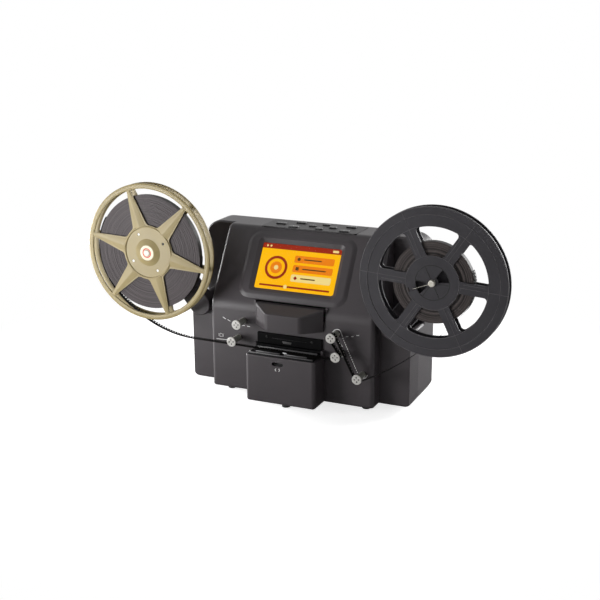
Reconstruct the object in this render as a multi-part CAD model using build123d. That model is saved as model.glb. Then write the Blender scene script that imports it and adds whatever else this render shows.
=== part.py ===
from build123d import *
import math
import os

# A desktop film reel digitizer: a casing with a leaning screen face, a film gate on a front block,
# guide rollers, and two folding arms that carry a supply reel and a take-up reel.
# Millimetres, +Z up, front towards -Y, origin on the table under the middle of the machine's box.

# Casing
body_width = 306.0          # across the two side bays
body_depth = 112.0          # front face to back face
body_top = 213.0            # table to top deck
foot_height = 8.5           # table to underside
front_width = 223.0         # raised front section
wall = 2.5
split_depth = 74.0          # front face to the joint of the two shells
slope_rise = 91.0           # height of the leaning part of the front face
slope_angle = 31.0          # lean from the vertical, degrees
kink_radius = 25.0
crest_radius = 11.0
side_radius = 5.0
base_radius = 3.0
bay_depth = 22.0            # front face to the face of the side bays
bay_top = 106.0
bay_radius = 9.0
bay_top_radius = 4.0
bay_edge_radius = 3.0
bay_draft = 2.5             # how far the bay's sides lean in at their front edge
bay_draft_length = 26.0
shoulder_depth = 67.0       # front face to the wall behind the arms
shoulder_radius = 24.0
back_radius = 8.0
rear_rise = 10.0            # how far the underside climbs to the back edge
cradle_gap = 2.0            # room round the arm's lower end

# Clearances
overrun = 1.0               # how far a cut runs past the face that it opens
fit_gap = 0.05              # radial room of a shaft in its hole
slip_gap = 0.3              # room between pieces that move past each other
panel_gap = 0.2             # room round an inset plate
near = 0.01                 # tolerance for picking edges by their place

# Gate block and film gate
block_out = 32.0            # how far the block stands out of the front face
block_width = 94.0
block_top = 70.0
block_edge_radius = 4.5
block_top_radius = 1.5
block_window_width = 26.0
block_window_depth = 14.0
bed_width = 88.0
bed_thickness = 2.0
bed_margin = 1.0            # bed's set-back from the block's front
bed_rear_out = 7.0          # bed's rear edge, in front of the front face
rail_height_shares = (0.5, 1.0, 2.0, 1.25)      # of the bed's thickness, front rail first
rail_width_shares = (1.0, 0.94, 0.94, 0.94)     # of the bed's width
rail_front_shares = (0.0, 0.2, 0.34, 0.86)      # of the bed's depth, from its front edge
rail_depth_shares = (0.1, 0.06, 0.09, 0.09)
light_radius = 3.0
light_stand = 0.2           # light's height above the bed

# Recess behind the hood, lid and hood
recess_width = 95.0
recess_depth = 8.0
recess_low = 112.0
recess_wall_top = 117.0
recess_high = 130.5
lid_width = 88.0
lid_height = 16.0
lid_thickness = 2.5
lid_pin_height = 74.5
lid_pin_out = 3.5           # lid's hinge axis, in front of the front face
lid_set_back = 0.8          # lid's face behind its hinge axis
lid_lug_height = 2.5        # lugs that hold the lid's pin, above its axis
lid_lug_depth = 6.5
lid_barrel_radius = 2.8
pin_radius = 1.2
hood_half = 46.0
hood_front_half = 23.0
hood_out = 23.0
hood_lip_out = 3.0          # where the hood's side faces begin
hood_in = 5.5               # how far the hood reaches into the casing
hood_low = 101.0
hood_top = 128.8
hood_front_top = 121.7
hood_wall = 2.0
hood_corner_radius = 9.0
hood_edge_radius = 2.0
hood_pin_height = 126.0
hood_pin_in = 3.0
hood_ear = 8.0
hood_ear_radius = 2.5

# Camera over the gate
lens_radius = 5.5
lens_length = 14.5
board_thickness = 1.6
camera_board_width = 28.0
camera_board_front_out = 20.0

# Screen
screen_x = -2.5             # screen's middle, to the right of the machine's middle
screen_rise = 55.5          # along the slope, from its lower end to the screen's middle
bezel_width = 148.0
bezel_height = 89.0
bezel_corner = 15.0
bezel_slope = 5.0           # width of the frame's sloping outer side
bezel_stand = 2.5
bezel_edge_radius = 6.0
bezel_drop = 1.0            # how far the bezel reaches in behind the slope
window_width = 119.0
window_height = 71.0
window_corner = 6.0
window_bevel = 5.2          # bevel's width on each side
collar_wall = 2.0
glass_thickness = 1.5
glass_margin = 3.0          # glass past the bevelled window on each side
lcd_thickness = 3.5

# Control panel and buttons
panel_width = 130.0
panel_front_in = 57.0
panel_back_in = 101.0
panel_thickness = 1.5       # in its pocket
panel_rise = 0.7            # above the deck
panel_ledge = 1.5
panel_corner = 3.0
button_width = 13.5
button_depth = 7.6
arrow_width = 10.0
arrow_depth = 6.6
button_corner = 2.0
button_stand = 2.4
button_stem = 6.5           # button's lower end below the deck
button_flange = 0.8
button_flange_thickness = 1.2
button_edge_radius = 0.6
button_board_drop = 8.0     # deck to the board's upper face
button_post_radius = 2.0
button_post_inset = 3.0
row_front_in = 64.0
row_middle_in = 77.0
row_back_in = 89.5
arrow_centre_x = 12.0
arrow_reach = 14.0
button_left_x = 46.0
button_inner_x = 23.0
button_right_x = 46.5

# Format switch on the gate block
switch_x = -2.8
switch_height = 61.4
switch_slot_width = 15.5
switch_slot_height = 4.6
switch_travel = 7.0
switch_flush = 0.3          # knob's face behind the block's face
switch_flange = 1.5

# Film
film_width = 8.0
film_thickness = 0.3
film_out = 15.0             # film's middle line, in front of the front face
film_gap = 0.3              # room between film and what it runs on
wrap_angle = 60.0           # film shown lying on each roll
slack_angle = 207.0         # where the loose end leaves the supply roll
slack_radius = 110.0        # first bend of the loose end
drop_angle = 34.0           # how steeply it then falls
sag_radius = 150.0          # second bend, into the level run
takeup_sag_radius = 380.0   # bend of the film that hangs before the take-up roll

# Guide rollers: places on the front face, as shares of its half width and of the height it starts to lean
roller_place_shares = {"a": (-0.578, 0.835), "b": (-0.645, 0.645), "c": (0.567, 0.822),
                       "d": (0.622, 0.629), "e": (0.876, 0.43)}
roller_radius = 4.0
roller_pin_radius = 2.0
roller_pin_in = 6.0
roller_head_radius = 5.8
roller_head_thickness = 2.0
roller_head_gap = 0.5       # film's edge to the pin's head
roller_boss_radius = 5.0

# Reels
reel_radius = 89.0
reel_x = 189.0
reel_height = 183.3
reel_inner_width = 9.0
flange_thickness = 1.5
spoke_count = 6
gold_rim = 6.5
gold_spoke_tip = 5.0        # width at the rim
gold_spoke_foot = 21.0      # width at the hub
gold_window_corner = 6.0    # at the hub
gold_window_tip = 2.0       # at the rim
gold_hub_radius = 35.5
gold_spoke_angle = 48.0
gold_core_radius = 30.0
gold_boss_radius = 17.7
gold_boss_top_radius = 10.5
gold_boss_height = 3.0
gold_hole_radius = 1.75
gold_hole_circle = 26.0
gold_hole_count = 4
gold_hole_angle = 30.0
supply_roll_radius = 76.5
black_window_radius = 66.0
black_hub_radius = 32.0
black_spoke_width = 14.0
black_spoke_angle = 56.0
black_window_corner = 4.0
black_core_radius = 30.0
black_core_bore = 22.0
black_core_floor = 1.5
black_step_radius = 79.5
black_step = 0.4
black_eye_radius = 20.5
black_eye_inner = 7.5
black_eye_angles = (30.0, 200.0)
black_eye_span = 48.0
black_slot_width = 5.0      # notch that holds the film's end
black_slot_angle = 201.0
takeup_roll_radius = 51.0
supply_turns = 24
takeup_turns = 11
turn_gap = 0.5              # room between one turn of wound film and the next
turn_samples = 24           # points on each turn where that room is measured

# Arms
pivot_x = 132.0
pivot_height = 114.0
arm_radius = 15.0
arm_front_in = 6.0
arm_shell_depth = 12.5
arm_cover_thickness = 2.5
arm_wall = 2.0
arm_edge_radius = 1.5
barrel_radius = 12.0
pivot_pin_radius = 5.0
pivot_pin_bore = 2.5
pivot_head_radius = 7.0
pivot_head_thickness = 1.6
pivot_boss_radius = 9.0
pivot_boss_depth = 4.0
spindle_radius = 4.0
spindle_out = 25.0
spindle_seat_radius = 10.0
spindle_seat_thickness = 3.0
spindle_neck_radius = 6.0
spindle_ring_radius = 6.5
spindle_ring_thickness = 2.0
bush_radius = 6.5
bush_length = 4.2

# Take-up drive in the right arm
drive_pulley_radius = 6.0
spindle_pulley_radius = 10.0
pulley_thickness = 3.6
belt_thickness = 1.0
belt_width = 2.6
drive_shaft_radius = 2.0
motor_radius = 11.0
motor_length = 28.0
motor_bore_depth = 7.0

# Film claw under the gate
claw_motor_radius = 7.0
claw_motor_length = 20.0
claw_shaft_radius = 1.5
claw_shaft_length = 36.0
claw_axis_drop = 16.0       # block's top to the shaft
claw_carriage = 8.0
claw_x = 8.0
claw_tip = 1.6
claw_travel = 4.2
claw_tip_gap = 0.25
claw_bracket = 2.0

# Boards and sockets
main_board_width = 140.0
main_board_low = 40.0
main_board_high = 150.0
main_board_gap = 12.0       # back wall to the board
standoff_radius = 3.0
standoff_inset = 6.0
socket_height = 56.0
socket_flush = 0.5
socket_place_shares = (-0.71, -0.29, 0.43)      # inlet, USB and card, of the board's half width
inlet_radius = 4.5
inlet_bore_radius = 2.75
usb_width = 9.4
usb_height = 3.6
card_width = 26.0
card_height = 4.0
socket_wall = 0.6
socket_bore_depth = 7.0

# Feet and screws
foot_radius = 5.5
foot_edge_radius = 1.0
foot_front_x = 94.4
foot_front_in = 22.5
foot_block_out = 13.0
foot_rear_x = 130.0
foot_rear_in = 58.0
screw_x = 136.0
screw_low = 30.0
screw_high = 190.0
screw_radius = 1.5
screw_head_radius = 3.0
screw_head_thickness = 2.2
screw_sink = 6.0            # back face to the seat of the head
screw_length = 36.0
screw_boss_radius = 4.5

# Planes that several pieces share
slope_start = body_top - slope_rise     # height where the front face starts to lean back
front_y = block_out - (body_depth + block_out) / 2
back_y = front_y + body_depth
split_y = front_y + split_depth
bay_y = front_y + bay_depth
shoulder_y = front_y + shoulder_depth
block_y = front_y - block_out
film_y = front_y - film_out
reel_front_y = film_y - reel_inner_width / 2 - flange_thickness
reel_back_y = film_y + reel_inner_width / 2 + flange_thickness
arm_y = front_y + arm_front_in
arm_split_y = arm_y + arm_shell_depth
arm_back_y = arm_split_y + arm_cover_thickness
pulley_y = arm_y + arm_wall + bush_length + slip_gap
lean = math.radians(slope_angle)
cradle_radius = arm_radius + cradle_gap
bed_top = block_top + bed_thickness
inlet_x, usb_x, card_x = [share * main_board_width / 2 for share in socket_place_shares]
roller_places = {letter: (x * front_width / 2, height * slope_start)
                 for letter, (x, height) in roller_place_shares.items()}


def block(x, y, z):
    middle = Pos((x[0] + x[1]) / 2, (y[0] + y[1]) / 2, (z[0] + z[1]) / 2)
    return middle * Box(x[1] - x[0], y[1] - y[0], z[1] - z[0])


def plate_y(sketch, y):
    """A sketch drawn in X and Z, as a plate between two places in Y."""
    return extrude(Plane.XZ.offset(-y[1]) * sketch, amount=y[1] - y[0])


def rod_x(y, z, radius, x):
    return Pos((x[0] + x[1]) / 2, y, z) * Rot(0, 90, 0) * Cylinder(radius, x[1] - x[0])


def rod_y(x, z, radius, y):
    return plate_y(Pos(x, z) * Circle(radius), y)


def rod_z(x, y, radius, z):
    return Pos(x, y, (z[0] + z[1]) / 2) * Cylinder(radius, z[1] - z[0])


def prism_x(points, half):
    """A closed outline of (y, z) points, as a prism to both sides of the middle plane."""
    outline = Polyline(*[(0, y, z) for y, z in points], close=True)
    return extrude(make_face(outline), amount=half, both=True)


def pick(edges, **place):
    """Edges whose middle lies at the given X, Y or Z."""
    def fits(edge):
        middle = edge.center()
        return all(abs(getattr(middle, axis) - value) < near for axis, value in place.items())
    return [edge for edge in edges if fits(edge)]


# Casing

def front_section(inset, back):
    shift = inset / math.cos(lean)
    face = front_y + inset
    low = foot_height + inset
    top = body_top - inset
    kink = slope_start - (shift - inset) / math.tan(lean)
    crest = front_y + shift + (top - slope_start) * math.tan(lean)
    points = [(back, low), (face, low), (face, kink), (crest, top), (back, top)]
    return prism_x(points, front_width / 2 - inset)


def rounded_front_section():
    body = front_section(0, split_y)
    body = fillet(pick(body.edges(), Y=front_y, Z=slope_start), kink_radius)
    crest = front_y + (body_top - slope_start) * math.tan(lean)
    body = fillet(pick(body.edges(), Y=crest, Z=body_top), crest_radius)
    for side in (-1, 1):
        rim = pick(body.edges(), X=side * front_width / 2)
        rim = [e for e in rim if e.center().Y < split_y - near and e.center().Z > foot_height + near]
        body = fillet(rim, side_radius)
    base = [e for e in pick(body.edges(), Z=foot_height) if e.center().Y < split_y - near]
    return fillet(base, base_radius)


def upright_outline(inset, top, top_radius):
    """Front view of the wide casing: a rectangle with rounded lower and upper corners."""
    low = foot_height + inset
    face = Pos(0, (low + top) / 2) * Rectangle(body_width - 2 * inset, top - low)
    face = fillet(face.vertices().group_by(Axis.Y)[0], bay_radius - inset)
    return fillet(face.vertices().group_by(Axis.Y)[-1], top_radius)


def side_bays():
    bay = plate_y(upright_outline(0, bay_top, bay_top_radius), (bay_y, split_y))
    bay = fillet(pick(bay.edges(), Y=bay_y), bay_edge_radius)
    for side in (-1, 1):
        half = side * body_width / 2
        corner = [(half, bay_y - overrun), (half, bay_y + bay_draft_length),
                  (half - side * bay_draft, bay_y - overrun)]
        wedge = make_face(Polyline(*corner, close=True))
        bay = bay - extrude(wedge, amount=body_top)
        bay = bay - rod_y(side * pivot_x, pivot_height, cradle_radius, (bay_y - overrun, shoulder_y))
    return bay


def shoulders():
    body = plate_y(upright_outline(0, body_top, shoulder_radius), (shoulder_y, split_y))
    return fillet(pick(body.edges(), Y=shoulder_y), bay_edge_radius)


def front_hollow():
    back = split_y + overrun
    bay_roof = pivot_height - cradle_radius - wall
    hollow = front_section(wall, back)
    hollow += plate_y(upright_outline(wall, bay_roof, bay_top_radius), (bay_y + wall, back))
    hollow += plate_y(upright_outline(wall, body_top - wall, shoulder_radius - wall),
                      (shoulder_y + wall, back))
    return hollow


def panel_pocket():
    """Room for the control panel: a ledge for its rim and an opening for the buttons."""
    y = (front_y + panel_front_in, front_y + panel_back_in)
    ledge = block((-panel_width / 2 - panel_gap, panel_width / 2 + panel_gap),
                  (y[0] - panel_gap, y[1] + panel_gap),
                  (body_top - panel_thickness, body_top + overrun))
    opening = block((-panel_width / 2 + panel_ledge, panel_width / 2 - panel_ledge),
                    (y[0] + panel_ledge, y[1] - panel_ledge),
                    (body_top - wall - overrun, body_top))
    return ledge + opening


def recess_box():
    half = recess_width / 2
    back = front_y + recess_depth
    outer = block((-half - wall, half + wall), (front_y + wall / 2, back + wall),
                  (recess_low - wall, recess_high))
    hollow = block((-half, half), (front_y, back), (recess_low, recess_high + overrun))
    over = block((-half, half), (back - overrun, back + wall + overrun),
                 (recess_wall_top, recess_high + overrun))
    return outer - hollow - over


def slope_plane(rise):
    """Plane on the leaning face, its Y up the slope and its Z out of the face."""
    origin = (screen_x, front_y + rise * math.sin(lean), slope_start + rise * math.cos(lean))
    return Plane(origin=origin, x_dir=(1, 0, 0), z_dir=(0, -math.cos(lean), math.sin(lean)))


def screen_plate(sketch, low, high):
    """A sketch on the leaning face, as a plate between two heights above it."""
    return extrude(slope_plane(screen_rise).offset(low) * sketch, amount=high - low)


def screw_places():
    return [(side * screw_x, height) for side in (-1, 1) for height in (screw_low, screw_high)]


def front_shell():
    shell = rounded_front_section() + side_bays() + shoulders()
    shell -= front_hollow()
    shell += recess_box()
    half = recess_width / 2
    shell -= block((-half, half), (front_y - overrun, front_y + recess_depth),
                   (recess_low, recess_high))
    for side in (-1, 1):
        shell += rod_y(side * pivot_x, pivot_height, pivot_boss_radius,
                       (shoulder_y + wall / 2, shoulder_y + wall + pivot_boss_depth))
        shell -= rod_y(side * pivot_x, pivot_height, pivot_pin_radius + fit_gap,
                       (shoulder_y - overrun, split_y + overrun))
    for x, height in screw_places():
        seat = bay_y if height == screw_low else shoulder_y
        shell += rod_y(x, height, screw_boss_radius, (seat + wall / 2, split_y))
        shell -= rod_y(x, height, screw_radius + fit_gap,
                       (back_y - screw_sink - screw_length - overrun, split_y + overrun))
    for x, height in roller_places.values():
        shell += rod_y(x, height, roller_boss_radius, (front_y + wall / 2, front_y + roller_pin_in))
        shell -= rod_y(x, height, roller_pin_radius + fit_gap,
                       (front_y - overrun, front_y + roller_pin_in + overrun))
    reach = half + wall / 2
    shell -= rod_x(front_y + hood_pin_in, hood_pin_height, pin_radius + fit_gap, (-reach, reach))
    collar = RectangleRounded(window_width + 2 * (collar_wall + panel_gap),
                              window_height + 2 * (collar_wall + panel_gap), window_corner)
    shell -= screen_plate(collar, -2 * wall, overrun)
    return shell - panel_pocket()


def rear_underside(lift):
    """Everything below the climbing underside, raised by lift."""
    climb = rear_rise / (back_y - split_y)
    y = (split_y - 2 * overrun, back_y + 2 * overrun)
    height = [foot_height + lift + (place - split_y) * climb for place in y]
    return prism_x([(y[0], 0), (y[1], 0), (y[1], height[1]), (y[0], height[0])], body_width)


def rear_shell():
    shell = plate_y(upright_outline(0, body_top, shoulder_radius), (split_y, back_y))
    shell = fillet(pick(shell.edges(), Y=back_y), back_radius)
    hollow = plate_y(upright_outline(wall, body_top - wall, shoulder_radius - wall),
                     (split_y - overrun, back_y - wall))
    shell -= hollow - rear_underside(wall)
    shell -= rear_underside(0)
    for x, height in screw_places():
        seat = back_y - screw_sink
        shell += rod_y(x, height, screw_boss_radius, (split_y, back_y - wall / 2))
        shell -= rod_y(x, height, screw_radius + fit_gap, (split_y - overrun, seat))
        shell -= rod_y(x, height, screw_head_radius + slip_gap, (seat, back_y + overrun))
    for x, height in standoff_places():
        shell += rod_y(x, height, standoff_radius, (back_y - main_board_gap, back_y - wall / 2))
    y = (back_y - wall - overrun, back_y + overrun)
    shell -= rod_y(inlet_x, socket_height, inlet_radius + panel_gap, y)
    for x, width, height in ((usb_x, usb_width, usb_height), (card_x, card_width, card_height)):
        hole = Pos(x, socket_height) * Rectangle(width + 2 * panel_gap, height + 2 * panel_gap)
        shell -= plate_y(hole, y)
    return shell - panel_pocket()


# Gate block, film gate, lid and hood

def gate_block():
    half = block_width / 2
    body = block((-half, half), (block_y, front_y), (foot_height, block_top))
    for side in (-1, 1):
        body = fillet(pick(body.edges(), X=side * half, Y=block_y), block_edge_radius)
    base = [e for e in pick(body.edges(), Z=foot_height) if e.center().Y < front_y - near]
    body = fillet(base, base_radius)
    rim = [e for e in pick(body.edges(), Z=block_top) if e.center().Y < front_y - near]
    body = fillet(rim, block_top_radius)
    body -= block((-half + wall, half - wall), (block_y + wall, front_y + overrun),
                  (foot_height + wall, block_top - wall))
    window_x = (claw_x - block_window_width / 2, claw_x + block_window_width / 2)
    window_y = (film_y - block_window_depth / 2, film_y + block_window_depth / 2)
    bracket = claw_motor_face()
    body -= block(window_x, window_y, (block_top - wall - overrun, block_top + overrun))
    body -= block((bracket - claw_bracket - slip_gap, bracket + slip_gap), window_y,
                  (block_top - wall - overrun, block_top + overrun))
    slot = Pos(switch_x, switch_height) * SlotOverall(switch_slot_width, switch_slot_height)
    body -= plate_y(slot, (block_y - overrun, block_y + wall + overrun))
    # the lid's barrel and plate run clear of the block, and its lugs reach over the pin
    reach = lid_width / 2 + slip_gap
    axis_y = front_y - lid_pin_out
    body -= rod_x(axis_y, lid_pin_height, lid_barrel_radius + slip_gap, (-reach, reach))
    body -= block((-reach, reach), (axis_y + lid_set_back - slip_gap, front_y + overrun),
                  (lid_pin_height, lid_pin_height + lid_height))
    for side in (-1, 1):
        body += block(sorted((side * half, side * reach)), (front_y - lid_lug_depth, front_y),
                      sorted((block_top - wall / 2, lid_pin_height + lid_lug_height)))
    return body - rod_x(axis_y, lid_pin_height, pin_radius + fit_gap,
                        (-half - overrun, half + overrun))


def claw_motor_face():
    """The plate under the bed that the claw's motor is screwed to."""
    return claw_x - claw_shaft_length / 2


def gate_bed():
    front = block_y + bed_margin
    depth = front_y - bed_rear_out - front
    half = bed_width / 2
    bed = block((-half, half), (front, front + depth), (block_top, bed_top))
    for height, width, start, thick in zip(rail_height_shares, rail_width_shares,
                                           rail_front_shares, rail_depth_shares):
        y = front + start * depth
        bed += block((-half * width, half * width), (y, y + thick * depth),
                     (block_top, bed_top + height * bed_thickness))
    bed -= rod_z(0, film_y, light_radius + panel_gap, (block_top - overrun, bed_top + overrun))
    reach = (claw_travel + claw_tip) / 2 + slip_gap
    y = claw_tip_y()
    bed -= block((claw_x - reach, claw_x + reach), (y[0] - slip_gap, y[1] + slip_gap),
                 (block_top - overrun, bed_top + overrun))
    face = claw_motor_face()
    bracket_y = (film_y - claw_motor_radius + panel_gap, film_y + claw_motor_radius - panel_gap)
    bed += block((face - claw_bracket, face), bracket_y,
                 (block_top - claw_axis_drop - claw_motor_radius, bed_top))
    return bed - rod_x(film_y, block_top - claw_axis_drop, claw_shaft_radius + slip_gap,
                       (face - claw_bracket - overrun, face + overrun))


def gate_light():
    return rod_z(0, film_y, light_radius, (block_top, bed_top + light_stand))


def claw_tip_y():
    return film_y - film_width / 2 + claw_tip / 2, film_y - film_width / 2 + 3 * claw_tip / 2


def claw_motor():
    face = claw_motor_face()
    height = block_top - claw_axis_drop
    body = rod_x(film_y, height, claw_motor_radius,
                 (face - claw_bracket - claw_motor_length, face - claw_bracket))
    return body + rod_x(film_y, height, claw_shaft_radius,
                        (face - claw_bracket - overrun, face + claw_shaft_length))


def film_claw():
    height = block_top - claw_axis_drop
    half = claw_carriage / 2
    carriage = block((claw_x - half, claw_x + half), (film_y - half, film_y + half),
                     (height - half, height + half))
    finger = block((claw_x - claw_tip / 2, claw_x + claw_tip / 2), claw_tip_y(),
                   (height, bed_top + claw_tip_gap))
    bore = rod_x(film_y, height, claw_shaft_radius + fit_gap,
                 (claw_x - claw_carriage, claw_x + claw_carriage))
    return carriage + finger - bore


def gate_lid():
    axis_y = front_y - lid_pin_out
    half = lid_width / 2
    plate = block((-half, half), (axis_y + lid_set_back, axis_y + lid_set_back + lid_thickness),
                  (lid_pin_height, lid_pin_height + lid_height))
    plate = fillet(pick(plate.edges(), Z=lid_pin_height + lid_height), pin_radius / 2)
    lid = plate + rod_x(axis_y, lid_pin_height, lid_barrel_radius, (-half, half))
    return lid - rod_x(axis_y, lid_pin_height, pin_radius + fit_gap, (-half - overrun, half + overrun))


def hood_mass(inset, low, back):
    lip = front_y - hood_lip_out
    front = front_y - hood_out
    points = [(-hood_half, back), (-hood_half, lip), (-hood_front_half, front),
              (hood_front_half, front), (hood_half, lip), (hood_half, back)]
    plan = make_face(Polyline(*points, close=True))
    corners = plan.vertices().group_by(Axis.Y)[0]
    plan = fillet(corners, hood_corner_radius)
    if inset > 0:
        plan = offset(plan, -inset)
    body = extrude(Pos(0, 0, low) * plan, amount=body_top - low)
    drop = hood_top - inset
    front_drop = hood_front_top - inset
    roof = [(back + overrun, drop), (lip, drop), (front, front_drop), (front - overrun, front_drop),
            (front - overrun, body_top + overrun), (back + overrun, body_top + overrun)]
    return body - prism_x(roof, body_width)


def hood():
    back = front_y + hood_in
    body = hood_mass(0, hood_low, back)
    roof = [e for e in body.edges() if e.center().Z > hood_front_top - near]
    front_rim = [e for e in roof if e.center().Y < front_y - hood_lip_out - near and
                 e.center().Z > hood_front_top - near and abs(e.tangent_at(0).Z) < 1 - near]
    body = fillet(front_rim, hood_edge_radius)
    body -= hood_mass(hood_wall, hood_low - overrun, back + 2 * hood_wall)
    foot = block((-body_width, body_width), (front_y - slip_gap, back + overrun),
                 (0, hood_pin_height - hood_ear_radius))
    body -= foot
    for side in (-1, 1):
        x = sorted((side * hood_half, side * (hood_half - hood_ear)))
        body += rod_x(front_y + hood_pin_in, hood_pin_height, hood_ear_radius, x)
    reach = hood_half + overrun
    return body - rod_x(front_y + hood_pin_in, hood_pin_height, pin_radius + fit_gap, (-reach, reach))


def hinge_pins():
    reach = recess_width / 2 + wall / 2 - panel_gap
    hood_pin = rod_x(front_y + hood_pin_in, hood_pin_height, pin_radius, (-reach, reach))
    reach = block_width / 2 - panel_gap
    lid_pin = rod_x(front_y - lid_pin_out, lid_pin_height, pin_radius, (-reach, reach))
    return Compound(children=[hood_pin, lid_pin])


def camera_board():
    half = camera_board_width / 2
    back = front_y + recess_depth + wall
    return block((-half, half), (front_y - camera_board_front_out, back),
                 (recess_wall_top, recess_wall_top + board_thickness))


def lens_barrel():
    return rod_z(0, film_y, lens_radius, (recess_wall_top - lens_length, recess_wall_top))


# Screen

def screen_bezel():
    plane = slope_plane(screen_rise)
    foot = RectangleRounded(bezel_width, bezel_height, bezel_corner)
    crown = RectangleRounded(bezel_width - 2 * bezel_slope, bezel_height - 2 * bezel_slope,
                             bezel_corner - bezel_slope)
    frame = loft([plane * foot, plane.offset(bezel_stand) * crown])
    top = frame.faces().sort_by(Axis((0, 0, 0), (0, -math.cos(lean), math.sin(lean))))[-1]
    frame = fillet(top.edges(), bezel_edge_radius)
    collar = RectangleRounded(window_width + 2 * collar_wall, window_height + 2 * collar_wall,
                              window_corner)
    frame += screen_plate(collar, -bezel_drop, 0)
    narrow = RectangleRounded(window_width - 2 * window_bevel, window_height - 2 * window_bevel,
                              window_corner - window_bevel / 2)
    wide = RectangleRounded(window_width, window_height, window_corner)
    bevel = loft([plane.offset(-bezel_drop) * narrow, plane.offset(bezel_stand) * wide])
    return frame - bevel


def glass_outline():
    return RectangleRounded(window_width - 2 * window_bevel + 2 * glass_margin,
                            window_height - 2 * window_bevel + 2 * glass_margin, window_corner / 2)


def screen_glass():
    return screen_plate(glass_outline(), -bezel_drop - glass_thickness, -bezel_drop)


def lcd_panel():
    front = -bezel_drop - glass_thickness
    return screen_plate(glass_outline(), front - lcd_thickness, front)


# Control panel and buttons

def button_places():
    """Name, X, distance behind the front face, and whether it is one of the four arrow keys."""
    left, right = arrow_centre_x - arrow_reach, arrow_centre_x + arrow_reach
    return [("power_button", -button_left_x, row_middle_in, False),
            ("menu_button", -button_inner_x, row_front_in, False),
            ("play_button", -button_inner_x, row_back_in, False),
            ("left_button", left, row_middle_in, True),
            ("up_button", arrow_centre_x, row_back_in, True),
            ("down_button", arrow_centre_x, row_front_in, True),
            ("right_button", right, row_middle_in, True),
            ("enter_button", button_right_x, row_back_in, False),
            ("back_button", button_right_x, row_front_in, False)]


def button_outline(arrow, grow):
    width, depth = (arrow_width, arrow_depth) if arrow else (button_width, button_depth)
    return RectangleRounded(width + 2 * grow, depth + 2 * grow, button_corner + grow)


def control_panel():
    y = (front_y + panel_front_in, front_y + panel_back_in)
    plan = Pos(0, (y[0] + y[1]) / 2) * RectangleRounded(panel_width, y[1] - y[0], panel_corner)
    panel = extrude(Pos(0, 0, body_top - panel_thickness) * plan, amount=panel_thickness + panel_rise)
    for name, x, inward, arrow in button_places():
        hole = Pos(x, front_y + inward, body_top - panel_thickness - overrun)
        depth = panel_thickness + panel_rise + 2 * overrun
        panel -= extrude(hole * button_outline(arrow, slip_gap), amount=depth)
    for x, place in button_post_places():
        panel += rod_z(x, place, button_post_radius,
                       (body_top - button_board_drop, body_top - panel_thickness))
    return panel


def button_post_places():
    x = panel_width / 2 - panel_ledge - button_post_inset
    y = [front_y + panel_front_in + panel_ledge + button_post_inset,
         front_y + panel_back_in - panel_ledge - button_post_inset]
    return [(side * x, place) for side in (-1, 1) for place in y]


def button_board():
    x = panel_width / 2 - panel_ledge
    y = (front_y + panel_front_in + panel_ledge, front_y + panel_back_in - panel_ledge)
    top = body_top - button_board_drop
    return block((-x, x), y, (top - board_thickness, top))


def button(x, inward, arrow):
    place = Pos(x, front_y + inward, body_top - button_stem)
    cap = extrude(place * button_outline(arrow, 0), amount=button_stem + button_stand)
    cap = fillet(cap.faces().sort_by(Axis.Z)[-1].edges(), button_edge_radius)
    top = body_top - panel_thickness - slip_gap
    flange = Pos(x, front_y + inward, top - button_flange_thickness) * button_outline(arrow, button_flange)
    return cap + extrude(flange, amount=button_flange_thickness)


def format_switch():
    knob_width = switch_slot_width - switch_travel - 2 * slip_gap
    x = switch_x + switch_slot_width / 2 - slip_gap - knob_width / 2
    height = switch_slot_height - 2 * slip_gap
    knob = plate_y(Pos(x, switch_height) * SlotOverall(knob_width, height),
                   (block_y + switch_flush, block_y + wall + slip_gap))
    flange = Rectangle(knob_width + 2 * switch_flange, height + 2 * switch_flange)
    return knob + plate_y(Pos(x, switch_height) * flange,
                          (block_y + wall + slip_gap, block_y + wall + slip_gap + switch_flange))


# Rollers

def roller(x, height):
    y = (film_y - film_width / 2 - roller_head_gap + slip_gap, front_y - slip_gap)
    sleeve = rod_y(x, height, roller_radius, y)
    return sleeve - rod_y(x, height, roller_pin_radius + fit_gap, (y[0] - overrun, y[1] + overrun))


def roller_pins():
    pins = []
    head_back = film_y - film_width / 2 - roller_head_gap
    for x, height in roller_places.values():
        pin = rod_y(x, height, roller_pin_radius, (head_back - overrun, front_y + roller_pin_in))
        head = rod_y(x, height, roller_head_radius, (head_back - roller_head_thickness, head_back))
        head = fillet(pick(head.edges(), Y=head_back - roller_head_thickness), roller_head_thickness / 4)
        pins.append(pin + head)
    return Compound(children=pins)


# Reels

def spoke_ring(outline, turn):
    """The outline, drawn along +X, repeated round the hub."""
    step = 360 / spoke_count
    spokes = [Rot(0, 0, turn + step * n) * outline for n in range(spoke_count)]
    return spokes[0] + spokes[1:]


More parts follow.
